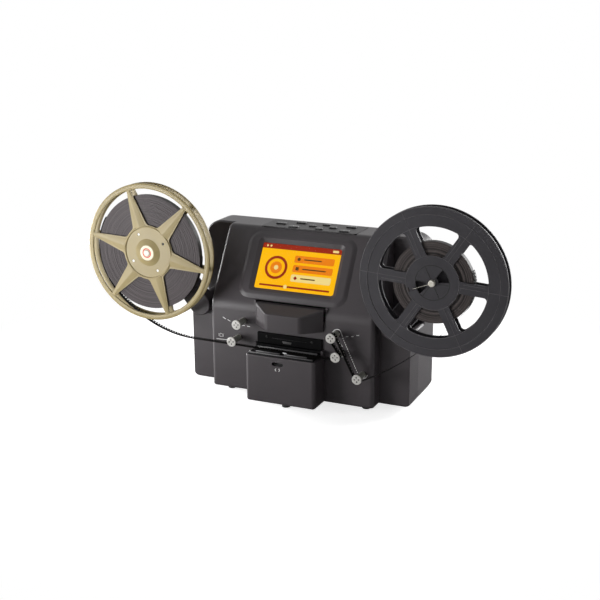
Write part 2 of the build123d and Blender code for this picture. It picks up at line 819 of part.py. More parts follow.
def gold_flange_face():
    inner = reel_radius - gold_rim
    taper = (gold_spoke_foot - gold_spoke_tip) / (inner - gold_hub_radius)
    middle_width = gold_spoke_foot + taper * gold_hub_radius
    reach = inner + gold_rim / 2
    reach_width = gold_spoke_tip - taper * gold_rim / 2
    outline = [(0, -middle_width / 2), (reach, -reach_width / 2), (reach, reach_width / 2),
               (0, middle_width / 2)]
    spoke = make_face(Polyline(*outline, close=True))
    windows = Circle(inner) - Circle(gold_hub_radius) - spoke_ring(spoke, gold_spoke_angle)
    corners = windows.vertices()
    middle = (inner + gold_hub_radius) / 2
    near_hub = [v for v in corners if math.hypot(v.X, v.Y) < middle]
    windows = fillet(near_hub, gold_window_corner)
    near_rim = [v for v in windows.vertices() if math.hypot(v.X, v.Y) > inner - near]
    windows = fillet(near_rim, gold_window_tip)
    holes = PolarLocations(gold_hole_circle, gold_hole_count, gold_hole_angle)
    face = Circle(reel_radius) - windows - holes * Circle(gold_hole_radius)
    return face - Circle(spindle_radius + fit_gap)


def black_flange_face():
    band = Circle(black_window_radius) - Circle(black_hub_radius)
    bar = Pos(reel_radius / 2, 0) * Rectangle(reel_radius, black_spoke_width)
    windows = band - spoke_ring(bar, black_spoke_angle)
    windows = fillet(windows.vertices(), black_window_corner)
    face = Circle(reel_radius) - windows - Circle(spindle_radius + fit_gap)
    ring = Circle(black_eye_radius) - Circle(black_eye_inner)
    half = math.radians(black_eye_span / 2)
    for angle in black_eye_angles:
        reach = reel_radius
        points = [(0, 0), (reach, -reach * math.tan(half)), (reach, reach * math.tan(half))]
        wedge = Rot(0, 0, angle) * make_face(Polyline(*points, close=True))
        face -= ring & wedge
    slot_middle = Pos((black_hub_radius + black_eye_radius) / 2, 0)
    slot_length = black_hub_radius - black_eye_radius + 2 * overrun
    slot = slot_middle * Rectangle(slot_length, black_slot_width)
    return face - Rot(0, 0, black_slot_angle) * slot


def flange(face, side, y):
    return plate_y(Pos(side * reel_x, reel_height) * face, y)


def supply_front_flange():
    y = (reel_front_y, reel_front_y + flange_thickness)
    body = flange(gold_flange_face(), -1, y)
    boss = Cone(gold_boss_radius, gold_boss_top_radius, gold_boss_height)
    boss -= Cylinder(spindle_radius + fit_gap, 2 * gold_boss_height)
    middle = Pos(-reel_x, reel_front_y - gold_boss_height / 2, reel_height)
    return body + middle * Rot(90, 0, 0) * boss


def supply_back_flange():
    return flange(gold_flange_face(), -1, (reel_back_y - flange_thickness, reel_back_y))


def takeup_front_flange():
    body = flange(black_flange_face(), 1, (reel_front_y, reel_front_y + flange_thickness))
    step = Circle(reel_radius) - Circle(black_step_radius)
    return body + plate_y(Pos(reel_x, reel_height) * step, (reel_front_y - black_step, reel_front_y))


def takeup_back_flange():
    return flange(black_flange_face(), 1, (reel_back_y - flange_thickness, reel_back_y))


def reel_core(side, radius):
    y = (reel_front_y + flange_thickness, reel_back_y - flange_thickness)
    return plate_y(Pos(side * reel_x, reel_height) * (Circle(radius) - Circle(spindle_radius + fit_gap)), y)


def takeup_core():
    ring = Circle(black_core_bore) - Circle(black_eye_inner)
    y = (reel_front_y + flange_thickness - overrun, reel_back_y - flange_thickness - black_core_floor)
    return reel_core(1, black_core_radius) - plate_y(Pos(reel_x, reel_height) * ring, y)


def turn_pitch(core_radius, radius, turns):
    """Step from one turn to the next, so that the turns fill the space between core and rim."""
    return (radius - core_radius - slip_gap + turn_gap) / (turns + 1)


def half_turns(core_radius, radius, turns):
    """Middle line of the winding: half circles about two centres, as (centre x, radius, start angle)."""
    pitch = turn_pitch(core_radius, radius, turns)
    first = core_radius + slip_gap + (pitch - turn_gap) / 2
    return [((n % 2) * pitch / 2, first + n * pitch / 2, 180 * (n % 2)) for n in range(2 * turns)]


def least_turn_gap(core_radius, radius, turns):
    """Least room between neighbouring turns, measured on points of the middle line."""
    points = []
    for centre, reach, start in half_turns(core_radius, radius, turns):
        for n in range(turn_samples):
            angle = math.radians(start + 180 * n / turn_samples)
            points.append((centre + reach * math.cos(angle), reach * math.sin(angle)))
    thick = turn_pitch(core_radius, radius, turns) - turn_gap
    step = 2 * turn_samples
    apart = [math.dist(here, there) for n, here in enumerate(points)
             for there in points[n + turn_samples:n + 2 * step]]
    return min(apart) - thick


def film_roll(side, core_radius, radius, turns):
    """Wound film: one unbroken band in a flat spiral from the core outwards."""
    thick = turn_pitch(core_radius, radius, turns) - turn_gap
    halves = half_turns(core_radius, radius, turns)
    edges = []
    for edge in (-thick / 2, thick / 2):
        edges.append([CenterArc((centre, 0), reach + edge, start, 180) for centre, reach, start in halves])
    ends = [Line(edges[0][0] @ 0, edges[1][0] @ 0), Line(edges[0][-1] @ 1, edges[1][-1] @ 1)]
    band = make_face(edges[0] + edges[1] + ends)
    return plate_y(Pos(side * reel_x, reel_height) * band,
                   (film_y - film_width / 2, film_y + film_width / 2))


def spindle(side):
    x, height = side * reel_x, reel_height
    inside = arm_y + arm_wall + bush_length
    shaft = rod_y(x, height, spindle_radius,
                  (front_y - spindle_out, inside + slip_gap + spindle_ring_thickness))
    tip = pick(shaft.edges(), Y=front_y - spindle_out)
    shaft = fillet(tip, spindle_radius / 4)
    seat = rod_y(x, height, spindle_seat_radius, (reel_back_y, reel_back_y + spindle_seat_thickness))
    neck = rod_y(x, height, spindle_neck_radius, (reel_back_y, arm_y - slip_gap))
    return shaft + seat + neck


def supply_spindle():
    inside = arm_y + arm_wall + bush_length + slip_gap
    return spindle(-1) + rod_y(-reel_x, reel_height, spindle_ring_radius,
                               (inside, inside + spindle_ring_thickness))


def takeup_spindle():
    return spindle(1) + rod_y(reel_x, reel_height, spindle_pulley_radius,
                              (pulley_y, pulley_y + pulley_thickness))


# Arms and the take-up drive

def two_circles(side, pivot_radius, hub_radius):
    """The outline that wraps a circle at the arm's pivot and one at the reel's axis."""
    ends = (Pos(side * pivot_x, pivot_height) * Circle(pivot_radius)).edges()
    ends += (Pos(side * reel_x, reel_height) * Circle(hub_radius)).edges()
    return make_hull(ends)


def arm_shell(side):
    shell = plate_y(two_circles(side, arm_radius, arm_radius), (arm_y, arm_split_y))
    shell = fillet(pick(shell.edges(), Y=arm_y), arm_edge_radius)
    inner = arm_radius - arm_wall
    shell -= plate_y(two_circles(side, inner, inner), (arm_y + arm_wall, arm_split_y + overrun))
    shell += rod_y(side * reel_x, reel_height, bush_radius, (arm_y, arm_y + arm_wall + bush_length))
    return shell - rod_y(side * reel_x, reel_height, spindle_radius + fit_gap,
                         (arm_y - overrun, arm_split_y))


def arm_cover(side):
    cover = plate_y(two_circles(side, arm_radius, arm_radius), (arm_split_y, arm_back_y))
    cover += rod_y(side * pivot_x, pivot_height, barrel_radius, (arm_split_y, shoulder_y - slip_gap))
    return cover - rod_y(side * pivot_x, pivot_height, pivot_pin_radius + fit_gap,
                         (arm_split_y - overrun, shoulder_y + overrun))


def arm_pins():
    pins = []
    head_back = arm_split_y - slip_gap
    end = shoulder_y + wall + pivot_boss_depth
    for side in (-1, 1):
        pin = rod_y(side * pivot_x, pivot_height, pivot_pin_radius, (head_back - pivot_head_thickness, end))
        pin += rod_y(side * pivot_x, pivot_height, pivot_head_radius,
                     (head_back - pivot_head_thickness, head_back))
        pins.append(pin - rod_y(side * pivot_x, pivot_height, pivot_pin_bore,
                                (arm_y, end + overrun)))
    return Compound(children=pins)


def drive_pulley():
    face = shoulder_y + wall + pivot_boss_depth
    pulley = rod_y(pivot_x, pivot_height, drive_pulley_radius, (pulley_y, pulley_y + pulley_thickness))
    return pulley + rod_y(pivot_x, pivot_height, drive_shaft_radius,
                          (pulley_y, face + motor_bore_depth - overrun))


def drive_belt():
    outer = belt_thickness + slip_gap
    loop = two_circles(1, drive_pulley_radius + outer, spindle_pulley_radius + outer)
    loop -= two_circles(1, drive_pulley_radius + slip_gap, spindle_pulley_radius + slip_gap)
    middle = pulley_y + pulley_thickness / 2
    return plate_y(loop, (middle - belt_width / 2, middle + belt_width / 2))


def takeup_motor():
    face = shoulder_y + wall + pivot_boss_depth
    body = rod_y(pivot_x, pivot_height, motor_radius, (face, face + motor_length))
    return body - rod_y(pivot_x, pivot_height, drive_shaft_radius + slip_gap,
                        (face - overrun, face + motor_bore_depth))


# Film strips: a path of lines and arcs from roll to roll, in X and Z

def tangent(first, second):
    """Ends of the line that leaves one turning circle and meets the next: (x, z, radius, turn)."""
    dx, dz = second[0] - first[0], second[1] - first[1]
    reach = second[3] * second[2] - first[3] * first[2]
    angle = math.atan2(dz, dx) + math.acos(reach / math.hypot(dx, dz))
    out = (math.cos(angle), math.sin(angle))
    ends = []
    for x, z, radius, turn in (first, second):
        ends.append((x - turn * radius * out[0], z - turn * radius * out[1]))
    return ends


def line_strip(start, end):
    angle = math.atan2(end[1] - start[1], end[0] - start[0])
    length = math.hypot(end[0] - start[0], end[1] - start[1])
    middle = Pos((start[0] + end[0]) / 2, (start[1] + end[1]) / 2)
    return middle * Rot(0, 0, math.degrees(angle)) * Rectangle(length, film_thickness)


def arc_strip(centre, radius, start, end, turn):
    first = math.degrees(math.atan2(start[1] - centre[1], start[0] - centre[0]))
    last = math.degrees(math.atan2(end[1] - centre[1], end[0] - centre[0]))
    span = turn * ((turn * (last - first)) % 360)
    arcs = [CenterArc(centre, radius + side * film_thickness / 2, first, span) for side in (-1, 1)]
    ends = [Line(arcs[0] @ place, arcs[1] @ place) for place in (0, 1)]
    return make_face(arcs + ends)


def strip(faces):
    outline = faces[0]
    for face in faces[1:]:
        outline = outline + face
    return plate_y(outline, (film_y - film_width / 2, film_y + film_width / 2))


def run_circle(name, turn):
    x, height = roller_places[name]
    return x, height, roller_radius + film_gap + film_thickness / 2, turn


def gate_line():
    return tangent(run_circle("b", 1), run_circle("d", 1))


def film_at_gate():
    """Where the film crosses the machine's middle plane."""
    start, end = gate_line()
    share = -start[0] / (end[0] - start[0])
    return 0, start[1] + share * (end[1] - start[1])


def polar(centre, radius, angle):
    return centre[0] + radius * math.cos(angle), centre[1] + radius * math.sin(angle)


def supply_film():
    """Loose film off the supply roll: it falls, bends level in a second arc and runs to the gate."""
    hub = (-reel_x, reel_height)
    roll = supply_roll_radius + film_gap + film_thickness / 2
    leave, fall = math.radians(slack_angle), math.radians(270 - drop_angle)
    slack = polar(hub, roll - slack_radius, leave)
    drop = polar(slack, slack_radius, fall)
    low, far = gate_line()
    level = math.atan2(far[1] - low[1], far[0] - low[0])
    heading = -math.radians(drop_angle)
    across = (low[0] - drop[0], low[1] - drop[1])
    reach = (across[0] * math.sin(level) - across[1] * math.cos(level)) / math.sin(level - heading)
    meet = polar(drop, reach, heading)
    cut = sag_radius * math.tan((level - heading) / 2)
    bend = (polar(meet, -cut, heading), polar(meet, cut, level))
    middle = polar(bend[1], sag_radius, level + math.pi / 2)
    return strip([arc_strip(hub, roll, polar(hub, roll, leave - math.radians(wrap_angle)),
                            polar(hub, roll, leave), 1),
                  arc_strip(slack, slack_radius, polar(hub, roll, leave), drop, 1),
                  line_strip(drop, bend[0]),
                  arc_strip(middle, sag_radius, bend[0], bend[1], 1),
                  line_strip(bend[1], film_at_gate())])


def hanging_arc(first, second, radius):
    """Middle of the arc that holds two turning circles inside it, and where it touches them."""
    dx, dz = second[0] - first[0], second[1] - first[1]
    apart = math.hypot(dx, dz)
    near_first, near_second = radius - first[2], radius - second[2]
    along = (near_first ** 2 - near_second ** 2 + apart ** 2) / (2 * apart)
    aside = math.sqrt(near_first ** 2 - along ** 2)
    middle = (first[0] + (along * dx - aside * dz) / apart, first[1] + (along * dz + aside * dx) / apart)
    ends = []
    for x, z, reach, turn in (first, second):
        ends.append(polar((x, z), reach, math.atan2(z - middle[1], x - middle[0])))
    return middle, ends


def takeup_film():
    """Film from the gate, under, over and under the right-hand rollers, then slack to the take-up roll."""
    roll = (reel_x, reel_height, takeup_roll_radius + film_gap + film_thickness / 2, 1)
    stops = [run_circle("d", 1), run_circle("c", -1), run_circle("e", 1)]
    arrive = gate_line()[1]
    faces = [line_strip(film_at_gate(), arrive)]
    for here, after in zip(stops, stops[1:]):
        leave, meet = tangent(here, after)
        faces.append(arc_strip(here[:2], here[2], arrive, leave, here[3]))
        faces.append(line_strip(leave, meet))
        arrive = meet
    last = stops[-1]
    middle, (leave, meet) = hanging_arc(last, roll, takeup_sag_radius)
    faces.append(arc_strip(last[:2], last[2], arrive, leave, 1))
    faces.append(arc_strip(middle, takeup_sag_radius, leave, meet, 1))
    ahead = math.atan2(meet[1] - reel_height, meet[0] - reel_x) + math.radians(wrap_angle)
    faces.append(arc_strip(roll[:2], roll[2], meet, polar(roll[:2], roll[2], ahead), 1))
    return strip(faces)


# Boards, sockets, feet and screws

def standoff_places():
    x = main_board_width / 2 - standoff_inset
    heights = (main_board_low + standoff_inset, main_board_high - standoff_inset)
    return [(side * x, height) for side in (-1, 1) for height in heights]


def main_board():
    back = back_y - main_board_gap
    return block((-main_board_width / 2, main_board_width / 2), (back - board_thickness, back),
                 (main_board_low, main_board_high))


def power_inlet():
    y = (back_y - main_board_gap, back_y - socket_flush)
    body = rod_y(inlet_x, socket_height, inlet_radius, y)
    return body - rod_y(inlet_x, socket_height, inlet_bore_radius,
                        (y[1] - socket_bore_depth, y[1] + overrun))


def flat_socket(x, width, height):
    y = (back_y - main_board_gap, back_y - socket_flush)
    body = plate_y(Pos(x, socket_height) * Rectangle(width, height), y)
    hole = Rectangle(width - 2 * socket_wall, height - 2 * socket_wall)
    return body - plate_y(Pos(x, socket_height) * hole, (y[1] - socket_bore_depth, y[1] + overrun))


def feet():
    places = [(0, front_y - foot_block_out)]
    for side in (-1, 1):
        places.append((side * foot_front_x, front_y + foot_front_in))
        places.append((side * foot_rear_x, front_y + foot_rear_in))
    pads = []
    for x, y in places:
        pad = rod_z(x, y, foot_radius, (0, foot_height))
        pads.append(fillet(pick(pad.edges(), Z=0), foot_edge_radius))
    return Compound(children=pads)


def shell_screws():
    screws = []
    seat = back_y - screw_sink
    for x, height in screw_places():
        screw = rod_y(x, height, screw_radius, (seat - screw_length, seat))
        screws.append(screw + rod_y(x, height, screw_head_radius, (seat, seat + screw_head_thickness)))
    return Compound(children=screws)


pieces = {
    "front_shell": front_shell(),
    "rear_shell": rear_shell(),
    "gate_block": gate_block(),
    "gate_bed": gate_bed(),
    "gate_light": gate_light(),
    "claw_motor": claw_motor(),
    "film_claw": film_claw(),
    "gate_lid": gate_lid(),
    "hood": hood(),
    "hinge_pins": hinge_pins(),
    "camera_board": camera_board(),
    "lens_barrel": lens_barrel(),
    "screen_bezel": screen_bezel(),
    "screen_glass": screen_glass(),
    "lcd_panel": lcd_panel(),
    "control_panel": control_panel(),
    "button_board": button_board(),
    "format_switch": format_switch(),
    "roller_pins": roller_pins(),
    "supply_front_flange": supply_front_flange(),
    "supply_back_flange": supply_back_flange(),
    "supply_core": reel_core(-1, gold_core_radius),
    "supply_film_roll": film_roll(-1, gold_core_radius, supply_roll_radius, supply_turns),
    "supply_spindle": supply_spindle(),
    "takeup_front_flange": takeup_front_flange(),
    "takeup_back_flange": takeup_back_flange(),
    "takeup_core": takeup_core(),
    "takeup_film_roll": film_roll(1, black_core_radius, takeup_roll_radius, takeup_turns),
    "takeup_spindle": takeup_spindle(),
    "left_arm": arm_shell(-1),
    "left_arm_cover": arm_cover(-1),
    "right_arm": arm_shell(1),
    "right_arm_cover": arm_cover(1),
    "arm_pins": arm_pins(),
    "drive_pulley": drive_pulley(),
    "drive_belt": drive_belt(),
    "takeup_motor": takeup_motor(),
    "supply_film": supply_film(),
    "takeup_film": takeup_film(),
    "main_board": main_board(),
    "power_inlet": power_inlet(),
    "usb_socket": flat_socket(usb_x, usb_width, usb_height),
    "card_slot": flat_socket(card_x, card_width, card_height),
    "feet": feet(),
    "shell_screws": shell_screws(),
}
for name, x, inward, arrow in button_places():
    pieces[name] = button(x, inward, arrow)
for letter, (x, height) in roller_places.items():
    pieces["roller_" + letter] = roller(x, height)

os.makedirs("parts", exist_ok=True)
for name, piece in pieces.items():
    export_step(piece, os.path.join("parts", name + ".step"))
print(len(pieces), "nodes")
print("least gap between turns, supply",
      round(least_turn_gap(gold_core_radius, supply_roll_radius, supply_turns), 3))
print("least gap between turns, take-up",
      round(least_turn_gap(black_core_radius, takeup_roll_radius, takeup_turns), 3))
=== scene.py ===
import math
import bpy
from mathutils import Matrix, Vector


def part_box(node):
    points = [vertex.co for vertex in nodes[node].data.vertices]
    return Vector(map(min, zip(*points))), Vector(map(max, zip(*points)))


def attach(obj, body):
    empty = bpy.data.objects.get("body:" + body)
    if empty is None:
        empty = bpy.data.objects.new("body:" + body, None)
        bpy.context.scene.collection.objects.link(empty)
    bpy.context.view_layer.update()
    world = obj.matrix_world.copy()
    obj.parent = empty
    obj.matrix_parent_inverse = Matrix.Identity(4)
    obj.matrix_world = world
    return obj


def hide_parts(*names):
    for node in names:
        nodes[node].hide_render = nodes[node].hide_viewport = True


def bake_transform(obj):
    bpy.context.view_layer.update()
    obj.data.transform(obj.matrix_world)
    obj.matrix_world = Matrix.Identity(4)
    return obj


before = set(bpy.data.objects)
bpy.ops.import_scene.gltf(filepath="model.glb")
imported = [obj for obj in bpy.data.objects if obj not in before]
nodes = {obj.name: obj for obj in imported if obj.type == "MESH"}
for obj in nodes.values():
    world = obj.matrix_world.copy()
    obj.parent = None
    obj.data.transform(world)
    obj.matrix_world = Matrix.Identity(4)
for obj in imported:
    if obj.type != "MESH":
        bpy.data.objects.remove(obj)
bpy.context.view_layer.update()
mm = 0.001
edgeAngle = 35   # degrees: a sharper turn than this is an edge


def middleOf(node):
    low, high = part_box(node)
    return (low + high) / 2


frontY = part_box("gate_block")[1].y
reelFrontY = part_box("takeup_front_flange")[0].y
goldApart = 10.5 * mm   # from the front face of the gold back flange to that of the front flange
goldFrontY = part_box("supply_back_flange")[0].y - goldApart
supplyHub = middleOf("supply_back_flange")
takeupHub = middleOf("takeup_back_flange")
filmY = middleOf("supply_film_roll").y
print("frame loaded, front face at", round(frontY, 4))


# selecting and finishing

def deselectAll():
    if bpy.context.object and bpy.context.object.mode != "OBJECT":
        bpy.ops.object.mode_set(mode="OBJECT")
    bpy.ops.object.select_all(action="DESELECT")


def makeActive(piece):
    deselectAll()
    piece.select_set(True)
    bpy.context.view_layer.objects.active = piece


def selectFaces(piece, test):
    makeActive(piece)
    bpy.ops.object.mode_set(mode="EDIT")
    bpy.ops.mesh.select_mode(type="FACE")
    bpy.ops.mesh.select_all(action="DESELECT")
    bpy.ops.object.mode_set(mode="OBJECT")
    for face in piece.data.polygons:
        face.select = test(face)
    bpy.ops.object.mode_set(mode="EDIT")


def applyModifier(piece, kind, **settings):
    makeActive(piece)
    modifier = piece.modifiers.new(kind.title(), kind)
    for key, value in settings.items():
        setattr(modifier, key, value)
    bpy.ops.object.modifier_apply(modifier=modifier.name)


def softEdges(piece, width, segments=2):
    applyModifier(piece, "BEVEL", width=width, segments=segments, limit_method="ANGLE",
                  angle_limit=math.radians(edgeAngle))


def cutWith(piece, cutter):
    applyModifier(piece, "BOOLEAN", operation="DIFFERENCE", object=cutter, solver="EXACT")
    bpy.data.objects.remove(cutter)


def freeze(piece):
    makeActive(piece)
    bpy.ops.object.transform_apply(location=True, rotation=True, scale=True)
    return piece


def joinAll(parts):
    makeActive(parts[0])
    for part in parts:
        part.select_set(True)
    bpy.ops.object.join()
    return bpy.context.object


def finishPiece(piece, name, material, body):
    freeze(piece)
    bpy.ops.object.shade_smooth_by_angle(angle=math.radians(edgeAngle))
    piece.name = name
    piece.data.name = name
    piece.data.materials.clear()
    piece.data.materials.append(material)
    if body:
        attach(piece, body)
    return piece


def addBox(place, size, turn=0.0):
    deselectAll()
    bpy.ops.mesh.primitive_cube_add(size=1, location=place, rotation=(0, turn, 0))
    piece = bpy.context.object
    piece.scale = size
    return freeze(piece)


def addDisc(place, radius, depth, vertices=64):
    # a round piece with its axis from front to back
    deselectAll()
    bpy.ops.mesh.primitive_cylinder_add(vertices=vertices, radius=radius, depth=depth, location=place,
                                        rotation=(math.pi / 2, 0, 0))
    return freeze(bpy.context.object)


def addRing(place, radius, bead, flat=1.0, around=160, beadSides=12):
    # a torus round an axis from front to back, flattened along that axis
    deselectAll()
    bpy.ops.mesh.primitive_torus_add(major_radius=radius, minor_radius=bead, major_segments=around,
                                     minor_segments=beadSides, location=place,
                                     rotation=(math.pi / 2, 0, 0))
    piece = freeze(bpy.context.object)
    for vertex in piece.data.vertices:
        vertex.co.y = place[1] + (vertex.co.y - place[1]) * flat
    return piece


# finishes

def newFinish(name):
    finish = bpy.data.materials.new(name)
    finish.use_nodes = True
    tree = finish.node_tree
    return finish, tree, tree.nodes["Principled BSDF"]


def addNode(tree, kind, **inputs):
    node = tree.nodes.new(kind)
    for key, value in inputs.items():
        node.inputs[key].default_value = value
    return node


def addMath(tree, operation, kind="ShaderNodeMath"):
    node = tree.nodes.new(kind)
    node.operation = operation
    return node


def spreadOver(tree, factor, low, high, fromLow=0.0, fromHigh=1.0):
    spread = tree.nodes.new("ShaderNodeMapRange")
    ends = {"From Min": fromLow, "From Max": fromHigh, "To Min": low, "To Max": high}
    for key, value in ends.items():
        spread.inputs[key].default_value = value
    tree.links.new(factor, spread.inputs["Value"])
    return spread


def objectNoise(tree, scale, detail):
    where = tree.nodes.new("ShaderNodeTexCoord")
    noise = addNode(tree, "ShaderNodeTexNoise", Scale=scale, Detail=detail)
    tree.links.new(where.outputs["Object"], noise.inputs["Vector"])
    return noise


def tintBetween(tree, factor, dark, light, low=0.35, high=0.65):
    ramp = tree.nodes.new("ShaderNodeValToRGB")
    ramp.color_ramp.elements[0].position = low
    ramp.color_ramp.elements[1].position = high
    ramp.color_ramp.elements[0].color = (*dark, 1)
    ramp.color_ramp.elements[1].color = (*light, 1)
    tree.links.new(factor, ramp.inputs["Fac"])
    return ramp.outputs["Color"]


def shade(colour, amount):
    return tuple(min(1.0, part * amount) for part in colour)


mouldLook = dict(cloudDetail=4.0, grainDetail=2.0, grainDepth=0.2 * mm, gloss=0.5, metal=0.0)


def mouldedFinish(name, look):
    finish, tree, shader = newFinish(name)
    broad = objectNoise(tree, look["cloud"], mouldLook["cloudDetail"])
    tint = tintBetween(tree, broad.outputs["Fac"], shade(look["colour"], 1 - look["vary"]),
                       shade(look["colour"], 1 + look["vary"]))
    tree.links.new(tint, shader.inputs["Base Color"])
    spread = spreadOver(tree, broad.outputs["Fac"], look["rough"] - look["roughVary"],
                        look["rough"] + look["roughVary"])
    tree.links.new(spread.outputs["Result"], shader.inputs["Roughness"])
    grain = objectNoise(tree, look["grain"], mouldLook["grainDetail"])
    bump = addNode(tree, "ShaderNodeBump", Strength=look["bump"], Distance=mouldLook["grainDepth"])
    tree.links.new(grain.outputs["Fac"], bump.inputs["Height"])
    tree.links.new(bump.outputs["Normal"], shader.inputs["Normal"])
    shader.inputs["Metallic"].default_value = look.get("metal", mouldLook["metal"])
    shader.inputs["Specular IOR Level"].default_value = look.get("gloss", mouldLook["gloss"])
    return finish


ringLook = dict(detail=6.0, tint=(0.32, 0.68), rough=(0.4, 0.6))


def woundFinish(name, look):
    # rings round the reel's axis on the film's edges, plain dark base on its face
    finish, tree, shader = newFinish(name)
    where = tree.nodes.new("ShaderNodeTexCoord")
    facing = tree.nodes.new("ShaderNodeSeparateXYZ")
    tree.links.new(where.outputs["Normal"], facing.inputs["Vector"])
    edgeOn = addMath(tree, "ABSOLUTE")
    tree.links.new(facing.outputs["Y"], edgeOn.inputs[0])
    centre = addNode(tree, "ShaderNodeMapping", Location=(-look["hub"].x, 0, -look["hub"].z))
    flatten = addMath(tree, "MULTIPLY", "ShaderNodeVectorMath")
    flatten.inputs[1].default_value = (1, 0, 1)
    reach = addMath(tree, "LENGTH", "ShaderNodeVectorMath")
    rings = addNode(tree, "ShaderNodeTexNoise", Scale=look["rings"], Detail=ringLook["detail"])
    rings.noise_dimensions = "1D"
    tree.links.new(where.outputs["Object"], centre.inputs["Vector"])
    tree.links.new(centre.outputs["Vector"], flatten.inputs[0])
    tree.links.new(flatten.outputs["Vector"], reach.inputs[0])
    tree.links.new(reach.outputs["Value"], rings.inputs["W"])
    tint = tintBetween(tree, rings.outputs["Fac"], look["dark"], look["light"], *ringLook["tint"])
    mix = tree.nodes.new("ShaderNodeMix")
    mix.data_type = "RGBA"
    mix.inputs["A"].default_value = (*look["face"], 1)
    tree.links.new(edgeOn.outputs["Value"], mix.inputs["Factor"])
    tree.links.new(tint, mix.inputs["B"])
    tree.links.new(mix.outputs["Result"], shader.inputs["Base Color"])
    spread = spreadOver(tree, rings.outputs["Fac"], *ringLook["rough"])
    tree.links.new(spread.outputs["Result"], shader.inputs["Roughness"])
    shader.inputs["Specular IOR Level"].default_value = look["gloss"]
    return finish


litLook = dict(cloud=9.0, detail=1.0, base=(0.01, 0.01, 0.01, 1), rough=0.4, gloss=0.0)


def litFinish(name, dark, light, glow):
    # a lit part, with a soft shift of colour across it
    finish, tree, shader = newFinish(name)
    soft = objectNoise(tree, litLook["cloud"], litLook["detail"])
    tint = tintBetween(tree, soft.outputs["Fac"], dark, light)
    tree.links.new(tint, shader.inputs["Emission Color"])
    shader.inputs["Base Color"].default_value = litLook["base"]
    shader.inputs["Emission Strength"].default_value = glow
    shader.inputs["Roughness"].default_value = litLook["rough"]
    shader.inputs["Specular IOR Level"].default_value = litLook["gloss"]
    return finish


glassLook = dict(cloud=60.0, detail=3.0, rough=(0.01, 0.05), clear=1.0, bend=1.05)


def glassFinish(name):
    finish, tree, shader = newFinish(name)
    smear = objectNoise(tree, glassLook["cloud"], glassLook["detail"])
    spread = spreadOver(tree, smear.outputs["Fac"], *glassLook["rough"])
    tree.links.new(spread.outputs["Result"], shader.inputs["Roughness"])
    shader.inputs["Transmission Weight"].default_value = glassLook["clear"]
    shader.inputs["IOR"].default_value = glassLook["bend"]
    return finish


